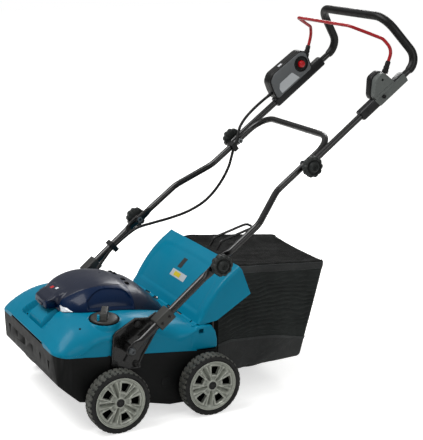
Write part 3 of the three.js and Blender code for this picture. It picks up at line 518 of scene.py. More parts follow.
def tube_mesh(points, section, sides=24, closed_ends=True):
    """A tube through points. section(i) gives (half width in plane, half width along X, X shift)."""
    points = [Vector(p) for p in points]
    rings = []
    normal = None
    for i, p in enumerate(points):
        tangent = (points[min(i + 1, len(points) - 1)] - points[max(i - 1, 0)]).normalized()
        guess = Vector((1, 0, 0)) if normal is None else normal
        if normal is None and abs(tangent.x) > 0.9:
            guess = Vector((0, 0, 1))
        normal = (guess - tangent * guess.dot(tangent)).normalized()
        other = tangent.cross(normal)
        size = section(i)
        wide, thick, shift = size if isinstance(size, tuple) else (size, size, 0)
        rings.append([p + normal * (shift + thick * cos(TURN * k / sides))
                      + other * (wide * sin(TURN * k / sides)) for k in range(sides)])
    return loft(rings, closed_ends)


def modify(piece, kind, **settings):
    """Adds one modifier with its settings."""
    modifier = piece.modifiers.new(kind.lower(), kind)
    for name, value in settings.items():
        setattr(modifier, name, value)
    return piece


def apply_all(piece):
    """Bakes the piece's modifiers into its mesh."""
    graph = bpy.context.evaluated_depsgraph_get()
    done = bpy.data.meshes.new_from_object(piece.evaluated_get(graph))
    piece.modifiers.clear()
    piece.data = done
    return piece


def bevel(piece, width, segments=3, angle=32):
    return modify(piece, "BEVEL", width=width * MM, segments=segments, limit_method="ANGLE",
                  angle_limit=radians(angle), harden_normals=False, use_clamp_overlap=True)


def solidify(piece, thickness, offset=-1.0):
    return modify(piece, "SOLIDIFY", thickness=thickness * MM, offset=offset, use_even_offset=False)


def cut(piece, *shapes):
    """Takes closed shapes, given as (points, faces), out of a closed piece."""
    for shape in shapes:
        cutter = raw("cutter", *shape)
        modify(piece, "BOOLEAN", operation="DIFFERENCE", object=cutter, solver="EXACT")
        apply_all(piece)
        mesh = cutter.data
        bpy.data.objects.remove(cutter)
        bpy.data.meshes.remove(mesh)
    return piece


def refined(node, style, width, angle=32, name=None, body=None):
    """A CAD node's own shape with its flat faces merged and its edges rounded by a bevel."""
    source = frame["nodes"][node]
    mesh = source.data.copy()
    clean = bmesh.new()
    clean.from_mesh(mesh)
    bmesh.ops.remove_doubles(clean, verts=clean.verts, dist=0.00002)
    bmesh.ops.dissolve_limit(clean, angle_limit=radians(1.5), verts=clean.verts, edges=clean.edges)
    clean.to_mesh(mesh)
    clean.free()
    piece = bpy.data.objects.new(name or node + "_moulded", mesh)
    bpy.context.scene.collection.objects.link(piece)
    apply_all(bevel(piece, width, 3, angle))
    return dress(piece, style, body or source["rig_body"], node)


def part(name, shape, style, body, *nodes, thick=0, offset=-1.0, edge=0, segments=3, edge_angle=32,
         angle=34):
    """A dressed piece: an open skin made thick, or a closed shape, with its edges rounded if asked."""
    piece = raw(name, *shape, closed=not thick)
    if thick:
        apply_all(solidify(piece, thick, offset))
    if edge:
        apply_all(bevel(piece, edge, segments, edge_angle))
    return dress(piece, style, body, *nodes, angle=angle)


def knuckle(name, x, half, body):
    """A hinge barrel round the flap's rod."""
    barrel = [(x - half, 3.4), (x - half, 5.4), (x - half + 0.6, 6), (x + half - 0.6, 6), (x + half, 5.4),
              (x + half, 3.4)]
    part(name, lathe(barrel, *HINGE, 28), "teal", body)


def screw(name, x, y, z, radius, style, body, outward=1):
    """A pan-head screw along X with a hexagon socket; x is the surface that it sits on."""
    head = [(x, 0.2), (x, radius), (x + outward * 1.2, radius), (x + outward * 2.2, radius * 0.85),
            (x + outward * 2.6, radius * 0.5)]
    socket = [(x + outward * 2.6, radius * 0.48), (x + outward * 1.0, radius * 0.44),
              (x + outward * 0.9, 0.2)]
    return part(name, lathe(head + socket, y, z, 24), style, body)


# ---- switch cable: made first, because its room is checked against the view ---------------
def side_line(start, end, distance, x):
    """A point on the side-view line from start to end, both (y, z)."""
    length = hypot(end[0] - start[0], end[1] - start[1])
    share = distance / length
    return Vector((x, lerp(start[0], end[0], share), lerp(start[1], end[1], share)))


HINGE = (249, 231)
BOLT, LOWER_KNOB, UPPER_KNOB = (41, 211), (288, 411), (585, 633)
UPPER_TURN, UPPER_CORNER = (208, 936, 895), (165, 846, 1014)
LOWER_X, MIDDLE_X, UPPER_X = 258, 193.5, 213
LEG_ANGLE = atan2(UPPER_TURN[2] - UPPER_KNOB[1], UPPER_TURN[1] - UPPER_KNOB[0])
LEG_LENGTH = (UPPER_TURN[1] - UPPER_KNOB[0]) / cos(LEG_ANGLE)
CABLE_R = 4.2


def leg_x(s):
    return UPPER_X + (UPPER_TURN[0] - UPPER_X) * s / LEG_LENGTH


def on_leg(s, n, x=0.0):
    """A point beside the upper handle's leg: s along it from the upper knob, n off it, upwards."""
    return (x, UPPER_KNOB[0] + s * cos(LEG_ANGLE) - n * sin(LEG_ANGLE),
            UPPER_KNOB[1] + s * sin(LEG_ANGLE) + n * cos(LEG_ANGLE))


def make_cables():
    """Three stretches of the switch cable: deck to lower clip, on to the upper clip, on to the box."""
    lower_clip = side_line(BOLT, LOWER_KNOB, 205, -242.5)
    lower_way = (side_line(BOLT, LOWER_KNOB, 206, -242.5) - lower_clip).normalized()
    upper_clip = Vector((-179, 566, 619))
    upper_way = Vector((0, 0.4, 0.92)).normalized()
    switch_x = -leg_x(250)
    deck = [(-190, 125, 282.8), (-190, 125.5, 293), (-212, 153, 312), lower_clip - 12 * lower_way,
            lower_clip - 0.2 * lower_way]
    loop = [lower_clip + 0.2 * lower_way, lower_clip + 12 * lower_way, (-237, 246, 376), (-232, 272, 392),
            (-225, 319, 403), (-218, 374, 414), (-210, 431, 431), (-204, 484, 460), (-198, 526, 506),
            (-188, 550, 556), upper_clip - 14 * upper_way, upper_clip - 0.2 * upper_way]
    top = [upper_clip + 0.2 * upper_way, upper_clip + 14 * upper_way, (-186, 580, 652), (-196, 592, 672),
           (-203, 612, 694), (-207, 643, 720), on_leg(148, 33, switch_x), on_leg(159.6, 32, switch_x)]
    for name, node, points, ends in (("deck_lead", "deck_cable", deck, None),
                                     ("loop_lead", "loop_cable", loop, ("chassis", "middle")),
                                     ("switch_lead", "upper_cable", top, ("middle", "upper"))):
        line = catmull(points, 7)
        shape = part(name, tube_mesh(line, lambda i: CABLE_R, 14), "rubber", None, node)
        path = [row(p) for p in line]
        if ends:
            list(ends)
            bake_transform(shape)
        else:
            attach(shape, "chassis")
        run_length(path)


make_cables()


# ---- deck ------------------------------------------------------------------------------
SEAM_Z = smooth([(-152, 217), (-75, 201), (84, 185), (263, 165)])
SHOULDER_Z = smooth([(-152, 216), (-110, 209), (-81, 213), (-45, 232), (0, 240), (110, 239), (150, 222),
                     (190, 208), (225, 218), (249, 229)])
CROWN_Z = smooth([(-152, 224), (-128, 250), (-88, 277), (-30, 286), (60, 282), (136, 268), (249, 234)])
DECK_HALF, DECK_FRONT, DECK_CORNER, COVER_REAR = 229, -152, 40, 241


def deck_half(y):
    """The cover's half width at y, rounded off at the front corners."""
    from_front = max(y - DECK_FRONT, 0)
    if from_front >= DECK_CORNER:
        return DECK_HALF
    return DECK_HALF - DECK_CORNER + sqrt(DECK_CORNER ** 2 - (DECK_CORNER - from_front) ** 2)


def seam_at(x, y):
    """The cover's lower edge, which steps down before each front corner."""
    front = 1 - ease(-140, -78, y)
    return SEAM_Z(y) + front * (5 - 10 * ease(119, 139, abs(x)))


def cover_top(x, y):
    """The cover's moulded surface, without the dial's seat or the channel round the front plate."""
    s = min(abs(x) / deck_half(y), 1)
    shoulder = SHOULDER_Z(y)
    return shoulder + (CROWN_Z(y) - shoulder) * (1 - s ** 6) ** 0.62


def channel_depth(x, y):
    """How far the cover sinks round and under the front plate."""
    front = ease(-137, -129, y)
    half = 88 - 20 * ease(-134, -80, y)
    side = ease(half, half - 6, abs(x))
    plate = ease(50, 44, abs(x)) * ease(-131, -124, y)
    return front * side * (18 - 16 * plate)


DIAL_X, DIAL_TILT = 178, radians(7.5)
DIAL_SEAT = cover_top(DIAL_X, 0) - 1.8


def cover_skin(x, y):
    """The cover's surface with the channel, and with the dial's flat seat on the left."""
    z = cover_top(x, y) - channel_depth(x, y)
    from_dial = hypot(abs(x) - DIAL_X, y)
    if x > 0:
        z = lerp(z, DIAL_SEAT + (DIAL_X - x) * tan(DIAL_TILT), ease(44, 40.5, from_dial))
    return z


def make_screw_hole_shade():
    """Near-black discs in the cover, painted shade in the mouths of its deep screw holes."""
    for i, (x, y) in enumerate(((73, -124), (192, -72), (201, 88))):
        for hand, side in HANDS:
            middle = Vector((side * x, y, cover_skin(side * x, y)))
            lean = Vector(((cover_skin(side * x - 3, y) - cover_skin(side * x + 3, y)) / 6,
                           (cover_skin(side * x, y - 3) - cover_skin(side * x, y + 3)) / 6, 1)).normalized()
            turn = lean.to_track_quat("X", "Y")
            # Painted shade: each mouth is a near-black disc laid on the surface, standing for the shade
            # inside the hole.
            points, faces = lathe([(-1.5, 0.2), (-1.5, 2.9), (0.35, 2.9), (0.35, 0.2)], 0, 0, 24)
            part(f"screw_hole_{hand}_{i + 1}", ([turn @ Vector(p) + middle for p in points], faces), "dark",
                 "chassis")


def make_cover():
    """The teal cover: its top skin, the skirt down to the stepped seam, and the lugs at the hinge."""
    nu, nv = 170, 170

    def top(u, v):
        y = DECK_FRONT + (COVER_REAR - DECK_FRONT) * v ** 1.25
        x = sin((u - 0.5) * pi) * deck_half(y)
        return (x, y, cover_skin(x, y))
    points, faces = grid(nu, nv, top)
    edge = [j * (nu + 1) for j in range(nv, -1, -1)] + list(range(1, nu)) \
        + [nu + j * (nu + 1) for j in range(nv + 1)]
    steps = 8
    rings = [edge]
    for k in range(1, steps + 1):
        ring = []
        for index in edge:
            x, y, z = points[index]
            bottom = seam_at(x, y)
            z = lerp(z, bottom, k / steps)
            bead = bump_at(z, bottom + 1.5, 2.2) * 1.2
            panel = 1.2 * ease(0, 2.5, SHOULDER_Z(y) - 2 - z) * ease(-84, -78, y) * ease(300, 200, y)
            out = (bead - 1.2 - panel) / DECK_HALF
            ring.append(len(points))
            points.append((x * (1 + out), y + (0 if y > -130 else -0.4 * bead), z))
        rings.append(ring)
    for upper, lower in zip(rings, rings[1:]):
        faces += [(upper[i], upper[i + 1], lower[i + 1], lower[i]) for i in range(len(edge) - 1)]
    cover = raw("cover_skin", points, faces)
    apply_all(solidify(cover, 3))
    cut(cover, box_shape(-104, 104, -58, 74, 200, 400))
    outline = [(222, 169), (222, 205), (232, 222), (243, 233), (262, 235), (286, 231), (298, 214),
               (303, 190), (303, 166)]
    for hand, side in HANDS:
        lug = raw(f"rear_lug_{hand}", *side_slab(outline, side * 206, side * 228.2))
        apply_all(bevel(lug, 7, 5, 50))
        cut(lug, box_shape(side * 212, side * 240, 247, 261, 214, 226), side_shape(
            [(230, 226), (240, 236), (236, 241), (226, 231)], side * 215, side * 240))
        dress(lug, "teal", "chassis")
    dress(cover, "teal", "chassis", "upper_cover", angle=40)
    make_screw_hole_shade()
    for i, x in enumerate((-200, -75, 75, 200)):
        knuckle(f"hinge_knuckle_{i + 1}", x, 14, "chassis")
        part(f"hinge_web_{i + 1}", box_shape(x - 14, x + 14, 234, 247, 229, 234.2), "teal", "chassis",
             edge=1.2)


def make_housing():
    """The lower housing, cut to the stepped seam, with the slots in its bumper."""
    housing = refined("lower_housing", "housing", 1.2, 40)
    nu, nv = 40, 26
    row_size = nu + 1
    round_edge = list(range(nu)) + [nu + row_size * j for j in range(nv)] \
        + [row_size * nv + i for i in range(nu, 0, -1)] + [row_size * j for j in range(nv, 0, -1)]
    for side in (1, -1):
        points, faces = grid(nu, nv, lambda u, v: (side * lerp(112, 240, u), lerp(-170, -76, v)))
        low = [(x, y, seam_at(x, y) - 0.5) for x, y in points]
        high = [(x, y, 240) for x, y in points]
        count = len(points)
        walls = [(a, b, b + count, a + count) for a, b in zip(round_edge, round_edge[1:] + round_edge[:1])]
        cut(housing, (low + high, faces + [tuple(i + count for i in f) for f in faces] + walls))
    for x in (-160, -96, -32, 32, 96, 160):
        cut(housing, box_shape(x - 6, x + 6, -160, -146.6 if abs(x) < 150 else -146, 146, 184))
    dress(housing, "housing", "chassis", angle=30)
    for hand, side in HANDS:
        part(f"bumper_band_{hand}", box_shape(side * 226, side * 230.5, -12, -6, 150, 196), "housing",
             "chassis", edge=1.2)


make_cover()
make_housing()


# ---- lid, top panel and hood -------------------------------------------------------------
LID_HALF = smooth([(-82, 90), (-40, 127), (10, 138), (80, 139), (105, 137), (200, 112)])
LID_CROWN = smooth([(-82, 306), (-27, 338), (20, 348), (80, 341), (105, 332), (150, 314), (200, 268)])
LID_SEAT = 104.6
PANEL_HALF = smooth([(-104, 43), (-76, 58), (-20, 82), (40, 87), (100, 80)])


def dome_z(s, y, power=2.4):
    """The dome's height over the lid and hood, at share s of its half width; it falls away at the front."""
    base = CROWN_Z(y) - 12
    fall = 1.0
    if y < -64:
        fall = (1 - min((-64 - y) / 18, 1) ** 2.6) ** (1 / 2.6)
    return base + (LID_CROWN(y) - base) * superellipse(s, power) * fall


def foot_share(y):
    """How far out the dome reaches before it meets the cover."""
    low, high = 0.0, 1.0
    for _ in range(30):
        middle = (low + high) / 2
        if dome_z(middle, y) > cover_top(middle * LID_HALF(y), y) + 0.5:
            low = middle
        else:
            high = middle
    return low


def dome(nu, nv, y0, y1, recess=0.0):
    """A dome from y0 to y1 that ends on the cover, with a lens-shaped recess in each side."""
    crest = smooth([(-30, 292), (-22, 312), (16, 331), (60, 329), (92, 318), (101, 300)])

    def place(u, v):
        y = lerp(y0, y1, v)
        reach = foot_share(y)
        s = sin((u - 0.5) * pi * 0.999) * reach
        x, z = s * LID_HALF(y), dome_z(s, y)
        foot = cover_top(x, y)
        inside = ease(-27, -17, y) * ease(101, 97, y) * ease(crest(y) + 1, crest(y) - 2.5, z) \
            * ease(foot + 3, foot + 9, z)
        x -= copysign(recess * inside, x) if abs(s) > 0.5 else 0
        return (x, y, z)
    return grid(nu, nv, place)


def panel_z(x, y):
    """The top panel's surface: the dome, joined softly to the nose in front of it."""
    over = dome_z(x / LID_HALF(y), y) if y > -82 else 0
    nose = min(lerp(303, 317, (y + 110) / 26), lerp(317, 322, (y + 84) / 24), 322)
    nose -= 3.5 * ease(30, 46, abs(x))
    nose -= 60 * ease(46, 70, abs(x)) + 0.5 * max(y + 60, 0)
    nose -= 5 * (1 - ease(-112, -103, y)) ** 2
    top = max(over, nose)
    blend = max(14 - abs(over - nose), 0)
    return top + blend * blend / 56 + 0.5


def make_lid():
    """The battery lid: domed shell, nose, latch, the panel over its top with two marks, and a near-white
    wedge at each lower front corner, a painted highlight.
    """
    part("lid_shell", dome(150, 120, -82, LID_SEAT, recess=6.5), "navy", "lid", "battery_lid", thick=3,
         angle=50)
    profile = [(-111.5, 282), (-109.5, 301), (-84, 315), (-60, 320), (-60, 285), (-84, 280)]
    part("lid_nose", side_shape(profile, -43, 43), "navy", "lid", edge=3, segments=4)
    part("lid_latch", side_shape([(-113.6, 284), (-113.2, 290), (-106, 291), (-106, 283)], -16, 16),
         "panel", "lid", edge=1)

    def top(u, v):
        y = lerp(-110, 100, v)
        half = PANEL_HALF(y) * (1 - 0.10 * (1 - ease(-110, -101, y)) ** 2)
        x = lerp(-half, half, u)
        edge = max(abs(2 * u - 1) - 0.965, 0) / 0.035
        return (x, y, panel_z(x, y) - 1.1 * edge ** 2)
    part("lid_panel", grid(72, 110, top), "panel", "lid", "lid_top_panel", thick=1.6, angle=60)
    marks = (("ready_mark", -14, -72, 13, "button"), ("check_mark", 8, -66, 10, "lens"))
    for name, x, y, wide, style in marks:
        def mark(u, v):
            px, py = x + wide * (u - 0.5), y + wide * 0.75 * (v - 0.5)
            return (px, py, panel_z(px, py) + 0.35)
        part(name, grid(10, 8, mark), style, "lid", thick=0.7, edge=0.25)
    # Painted highlight: a glossy near-white wedge at each lower front corner of the lid stands for the white
    # highlight there.
    for hand, side in HANDS:
        def wedge(u, v):
            y = lerp(-81, -60, u)
            z0 = cover_top(side * 86, y) + 2
            z = lerp(z0, z0 + 13 * (1 - u) ** 0.7 + 0.6, v)
            reach = foot_share(y) * LID_HALF(y)
            return (side * (lerp(reach, reach - 7, v ** 2) + 0.9), y, z)
        part(f"lid_corner_highlight_{hand}", grid(14, 8, wedge), "lens", "lid", thick=2, angle=60)


def make_hood():
    """The fixed hood behind the lid, its rear wall and the dark hinge ears."""
    part("hood_shell", dome(90, 60, 105, 200), "panel", "chassis", "rear_hood", thick=3, angle=60)

    def back(u, v):
        reach = foot_share(200)
        s = sin((u - 0.5) * pi * 0.999) * reach
        x = s * LID_HALF(200)
        return (x, 200 + 3 * sin(pi * v / 2), lerp(dome_z(s, 200), cover_top(x, 200) - 1, v))
    part("hood_end", grid(60, 6, back), "panel", "chassis", thick=1.5, angle=60)
    tab = [(107, -2), (109, 3), (118, 2.4), (121, -3)]
    for i, x in enumerate((-58, -30, 30, 58)):
        ear = raw(f"hood_ear_{i + 1}", *side_shape(tab, x - 6, x + 6))
        ear.data.transform(Matrix.Translation((0, 0, dome_z(x / 137, 112) * MM)))
        dress(apply_all(bevel(ear, 1.2)), "dark", "chassis")


make_lid()
make_hood()


# ---- wheels ------------------------------------------------------------------------------
WHEEL_MIDDLE = 282 - 41 / 2
TYRE_R, REAR_AXLE = 83, 262.4


def tyre_shape():
    """A tyre turned about X, with zigzag grooves across its tread."""
    blocks = 34
    profile = [(-20.5, 67.6), (-20.5, 70), (-19.6, 71), (-20.5, 72.2), (-20.4, 77), (-19, 80.4)]
    profile += [(x, TYRE_R) for x in (-16, -12, -8, -4, -1, 1, 4, 8, 12, 16)]
    profile += [(19, 80.4), (20.4, 77), (20.5, 72.2), (19.6, 71), (20.5, 70), (20.5, 67.6)]

    def wobble(angle, x, r):
        if r < 80:
            return x, r
        zigzag = abs(((x + 40) / 9) % 2 - 1) * 0.45
        phase = (angle * blocks / TURN + zigzag) % 1
        groove = ease(0.0, 0.06, phase) * ease(0.26, 0.2, phase)
        channel = bump_at(abs(x), 5.5, 1.2)
        return x, r - 3.2 * max(groove, 0.8 * channel)
    return lathe(profile, 0, 0, 306, wobble)


def rim_shape(phase):
    """The rim's face with five windows, folded in at their edges, and the barrel behind it."""
    around, across = 200, 26
    pitch, half_window, wall = 72, 14.4, 11
    radii = [9.5, 11, 12.4, 13, 16, 20, 24, 27, 28.5, 30, 33, 36, 39, 42, 45, 48, 51, 54, 55.5, 57, 59, 60.5,
             62, 63.5, 64.2, 65.5, 66.6]
    face = smooth([(9, 17), (13, 17.2), (16, 15.2), (30, 13.6), (45, 13.4), (58, 14.6), (61, 16.4),
                   (63.4, 19), (64.4, 18), (67, 18.8)])

    def place(i, j):
        angle = TURN * i / around
        r = radii[j]
        sector = (degrees(angle) - phase + pitch / 2) % pitch - pitch / 2
        from_window = max(abs(sector) - half_window, 0) * r * pi / 180
        outside = max(28.5 - r, r - 55.5, 0)
        lip = bump_at(hypot(from_window, outside), 1.6, 2.6) * 4.0 * ease(20, 26, r) * ease(61, 58, r)
        spoke = (pitch / 2 - abs(sector)) * r * pi / 180
        groove = 6.5 * bump_at(spoke, 0, 1.2 + r * 0.05) * ease(13, 18, r) * ease(60, 50, r)
        ridge = 3.4 * bump_at(spoke, 3.6 + 0.09 * r, 2.0) * ease(16, 24, r) * ease(60, 52, r)
        return (face(r) + lip - groove + ridge, r * cos(angle), r * sin(angle))
    points = [place(i, j) for j in range(across + 1) for i in range(around)]
    first, last = radii.index(30), radii.index(54)
    per = around / 360

    def hole(i, j):
        middle = (i + 0.5) / per
        sector = (middle - phase + pitch / 2) % pitch - pitch / 2
        return first <= j < last and abs(sector) < half_window
    faces = []
    for j in range(across):
        for i in range(around):
            if not hole(i, j):
                k = (i + 1) % around
                faces.append((j * around + i, j * around + k, (j + 1) * around + k, (j + 1) * around + i))
    walls = []
    for j in range(first, last):
        for i in range(around):
            k = (i + 1) % around
            if hole(i, j):
                if not hole(i - 1, j):
                    walls.append((j * around + i, (j + 1) * around + i))
                if not hole(k, j):
                    walls.append(((j + 1) * around + k, j * around + k))
                if j == first:
                    walls.append((j * around + k, j * around + i))
                if j == last - 1:
                    walls.append(((j + 1) * around + i, (j + 1) * around + k))
    for a, b in walls:
        start = len(points)
        points += [(points[k][0] - wall, points[k][1], points[k][2]) for k in (a, b)]
        faces.append((b, a, start, start + 1))
    return points, faces


def make_wheels():
    """Tyre, rim face, barrel, web and cap of the four wheels."""
    tyre = tyre_shape()
    tread_from = 0.0812
    for place, y, phase in (("front", 0, -1), ("rear", REAR_AXLE, 8)):
        rim = rim_shape(phase)
        for hand, side in HANDS:
            body = f"{place}_{hand}_wheel"

            def put(shape):
                points, faces = shape
                return [(side * (WHEEL_MIDDLE + x), y + py, TYRE_R + pz) for x, py, pz in points], faces
            tread = part(f"{place}_{hand}_tread", put(tyre), "tyre", body, f"{place}_{hand}_tyre", angle=28)
            tread.data.materials.append(LOOKS["tread"][0])
            centre = row((0, y, TYRE_R))
            for polygon in tread.data.polygons:
                off = polygon.center - centre
                polygon.material_index = int(hypot(off.y, off.z) > tread_from)
            face = raw(f"{place}_{hand}_hubface", *put(rim), closed=False)
            apply_all(solidify(face, 2.2, offset=-1 if side < 0 else 1))
            dress(apply_all(bevel(face, 0.7, 2, 50)), "rim", body, f"{place}_{hand}_rim", angle=40)
            barrel = lathe([(-19.5, 62.5), (-19.5, 67.4), (19.2, 67.4), (19.2, 66.2), (-17, 63.4)], 0, 0, 96)
            part(f"{place}_{hand}_barrel", put(barrel), "rim", body)
            back = lathe([(-12, 9.4), (-12, 64), (-9, 64), (-7, 30), (-7, 9.4)], 0, 0, 72)
            part(f"{place}_{hand}_web", put(back), "dark", body)
            cap = [(-12, 6.8), (-12, 11), (15.4, 12.4), (16.9, 12), (17.6, 10.6), (17.3, 9), (16.2, 8.4),
                   (16.2, 6.4), (17.5, 5.4), (17.5, 0.3), (14, 0.3), (14, 6.8)]
            part(f"{place}_{hand}_hubcap", put(lathe(cap, 0, 0, 48)), "fitting", body)


make_wheels()


# ---- handle brackets and tubes -----------------------------------------------------------
BRACKET = [(-4, 152), (-4, 190), (1, 250), (8, 258), (63, 288), (99, 284), (122, 296), (146, 272), (124, 246),
           (84, 184), (75, 166), (75, 152)]


def flat_ended(start, end, radius, x, near=None, far=None):
    """A straight tube from start to end, (y, z); near and far are a flat end's length and X shift."""
    run = hypot(end[0] - start[0], end[1] - start[1])
    stations = [0, 1, 3, 6, 10] + [14 + 4 * i for i in range(int((run - 28) / 4))]
    stations += [run - d for d in (10, 6, 3, 1, 0)]
    points = [side_line(start, end, s, x) for s in stations]

    def section(i):
        s = stations[i]
        wide, thick, shift = radius, radius, 0.0
        for flat, distance in ((near, s), (far, run - s)):
            if flat:
                share = ease(flat[0] + 22, flat[0], distance)
                round_end = sqrt(max(1 - (1 - min(distance / 11, 1)) ** 2, 0.02))
                wide = lerp(wide, radius * 1.18 * round_end, share)
                thick = lerp(thick, 2.5, share)
                shift = lerp(shift, flat[1], share)
        return wide, thick, shift
    return tube_mesh(points, section, 28)


def beyond(start, end, distance, x=0.0):
    """(y, z) at a distance along the line from start to end."""
    point = side_line(start, end, distance, x)
    return (point.y, point.z)


def make_brackets():
    """Each side's sunk bracket with its ribs and screws, the pivot bolt, the lower tube and its clamp."""
    for hand, side in HANDS:
        plate = raw(f"bracket_{hand}", *mirrored(side_shape(BRACKET, 229.4, 236), side))
        shape = bmesh.new()
        shape.from_mesh(plate.data)
        shape.faces.ensure_lookup_table()
        outer = max(shape.faces, key=lambda f: (f.calc_center_median().x * side, f.calc_area()))
        bmesh.ops.inset_region(shape, faces=[outer], thickness=4.2 * MM, depth=0)
        bmesh.ops.inset_region(shape, faces=[outer], thickness=1.5 * MM, depth=-3.4 * MM)
        shape.to_mesh(plate.data)
        shape.free()
        dress(apply_all(bevel(plate, 0.9, 2, 25)), "gloss", "chassis", f"handle_bracket_{hand}", angle=45)
        ring = lathe([(232, 12), (255, 11.4), (255.1, 10.4), (255.1, 4.4), (232, 4.4)], *BOLT, 40)
        part(f"bracket_boss_{hand}", mirrored(ring, side), "fitting", "chassis")
        for i, (y, z) in enumerate(((70, 270), (4, 172), (63, 164))):
            seat = lathe([(232, 9.5), (236, 9), (236.6, 8), (236.6, 0.3), (232, 0.3)], y, z, 32)
            part(f"bracket_seat_{hand}_{i + 1}", mirrored(seat, side), "fitting", "chassis")
            screw(f"bracket_screw_{hand}_{i + 1}", side * 236.6, y, z, 6.2, "fitting", "chassis", side)
        for i, (start, end) in enumerate((((30, 176), (62, 222)), ((72, 238), (106, 262)))):
            rings = [[(x, start[0] + a, start[1] + b), (x, end[0] + a, end[1] + b),
                      (x, end[0] - a, end[1] - b), (x, start[0] - a, start[1] - b)]
                     for x, a, b in ((232.4, -2.6, 1.8), (235.6, -1.6, 1.1))]
            part(f"bracket_rib_{hand}_{i + 1}", mirrored(loft(rings), side), "fitting", "chassis", edge=0.6,
                 segments=2)
        bolt = lathe([(215, 3.9), (261, 3.9), (261, 9.6), (266.6, 9.2), (268, 7.6), (268, 4.4), (265.2, 4),
                      (265.2, 0.3), (215, 0.3)], *BOLT, 30)
        part(f"pivot_head_{hand}", mirrored(bolt, side), "bolt", "chassis", f"pivot_bolt_{hand}")
        start = beyond(BOLT, LOWER_KNOB, -14)
        end = beyond(BOLT, LOWER_KNOB, dist(BOLT, LOWER_KNOB) + 12.5)
        lower = flat_ended(start, end, 10.5, 258, near=(30, 0), far=(46, 3.3))
        part(f"lower_rail_{hand}", mirrored(lower, side), "paint", "chassis", f"lower_tube_{hand}")
        refined(f"tube_socket_{hand}", "grey", 5, name=f"clamp_{hand}")
        for i, s in enumerate((104, 130)):
            spot = side_line(BOLT, LOWER_KNOB, s, 0)
            screw(f"clamp_screw_{hand}_{i + 1}", side * 272.6, spot.y, spot.z - 0.5, 4, "fitting",
                  "chassis", side)


def make_middle():
    """The middle rail: one bent tube with flat ends under the clamp knobs."""
    run = dist(LOWER_KNOB, UPPER_KNOB)
    corners = [side_line(LOWER_KNOB, UPPER_KNOB, s, x) for s, x in
               ((-12.5, LOWER_X), (150, LOWER_X), (262, MIDDLE_X), (run + 108, MIDDLE_X))]
    path = bent(corners + mirror(corners)[::-1], [60, 60, 62, 62, 60, 60], 12)
    path = resampled(path, 5)
    total = run_length(path)
    walked = [0.0]
    for a, b in zip(path, path[1:]):
        walked.append(walked[-1] + (b - a).length)

    def section(i):
        distance = min(walked[i], total - walked[i])
        share = ease(58, 40, distance)
        round_end = sqrt(max(1 - (1 - min(distance / 11, 1)) ** 2, 0.02))
        return lerp(9, 11 * round_end, share), lerp(9, 2.4, share), lerp(0, -3.2, share)
    part("middle_rail", tube_mesh(path, section, 28), "paint", "middle", "middle_handle")


def make_upper():
    """The upper rail and the foam grip over its cross bar."""
    foot = on_leg(-14, 0)
    path = bent([(UPPER_X, foot[1], foot[2]), UPPER_TURN, UPPER_CORNER,
                 *mirror([UPPER_CORNER, UPPER_TURN, (UPPER_X, foot[1], foot[2])])], [42, 58, 58, 42], 16)
    first = run_length(path[:2])
    total = run_length(path)
    fine = resampled(path, 6)
    rail = tube_mesh(fine, lambda i: 9 * (0.9 if i in (0, len(fine) - 1) else 1), 28)
    part("upper_rail", rail, "paint", "upper", "upper_handle")
    start = first - 6
    grip_path = [p for i, p in enumerate(fine) if start < i * total / (len(fine) - 1) < total - start]
    count = len(grip_path)
    grip = tube_mesh(grip_path, lambda i: 12 - 1.6 * bump_at(min(i, count - 1 - i), 0, 0.7), 32)
    part("grip_foam", grip, "foam", "upper", "handle_grip")


def make_bore_caps():
    """Plugs that close the housing's side holes at the reel's bearings."""
    for hand, side in HANDS:
        cap = [(224, 0.3), (224, 11.6), (229.3, 11.6), (229.3, 14.6), (230.4, 14), (230.8, 11),
               (230.8, 0.3)]
        part(f"bore_cap_{hand}", mirrored(lathe(cap, 150, 96, 48), side), "housing", "chassis")


def make_knobs():
    """The four clamp knobs, each with its lobes, its sunk ring and a nut on the stud's far end."""
    lobes = 10
    for tag, inner, deep, stud, spot in (("lower", 270.5, 20, 247.5, LOWER_KNOB),
                                         ("upper", 222.4, 18, 177.5, UPPER_KNOB)):
        face = inner + deep
        profile = [(inner, 4), (inner, 21), (inner + 1.2, 24), (inner + 3, 26), (face - 3.5, 26),
                   (face - 1, 24.4), (face, 21.5), (face - 0.4, 19.6), (face - 3.4, 18.6), (face - 3.6, 16),
                   (face - 0.6, 14.8), (face + 2.6, 13.4), (face + 4.4, 11.6), (face + 4.6, 9.4),
                   (face + 2.4, 8), (face + 0.6, 7.4), (face + 0.4, 5), (face - 2.5, 4.4),
                   (face - 2.5, 0.3), (stud, 0.3), (stud, 3.9), (inner, 3.9)]

        def wobble(angle, x, r):
            dip = 1.7 * (1 - abs(cos(angle * lobes / 2)) ** 0.8) * 2
            return x, r - dip * ease(19.5, 24, r)
        wheel = lathe([(x, r * lerp(1, 1.13, ease(12, 20, r))) for x, r in profile], *spot, 180, wobble)
        nut = lathe([(stud, 4.1), (stud, 8), (stud + 6, 8), (stud + 6, 4.1)], *spot, 6)
        for hand, side in HANDS:
            body = f"{tag}_{hand}_knob"
            part(f"{tag}_wheel_{hand}", mirrored(wheel, side), "knob", body, f"{tag}_knob_{hand}", angle=30)
            part(f"{tag}_nut_{hand}", mirrored(nut, side), "steel", body, angle=30)


make_brackets()
make_middle()
make_upper()
make_knobs()
make_bore_caps()


# ---- flap --------------------------------------------------------------------------------
FLAP_ARC = resampled(catmull([(0, 251, 236), (0, 271, 273), (0, 304, 318), (0, 337, 351), (0, 374, 378)],
                             4), 3)
FLAP_HALF = 217


def flap_crown(x, t):
    """How far the flap's face swells between its sides and its ends."""
    return 3 * cos(x / FLAP_HALF * 1.4) * sin(pi * min(t, 0.95))


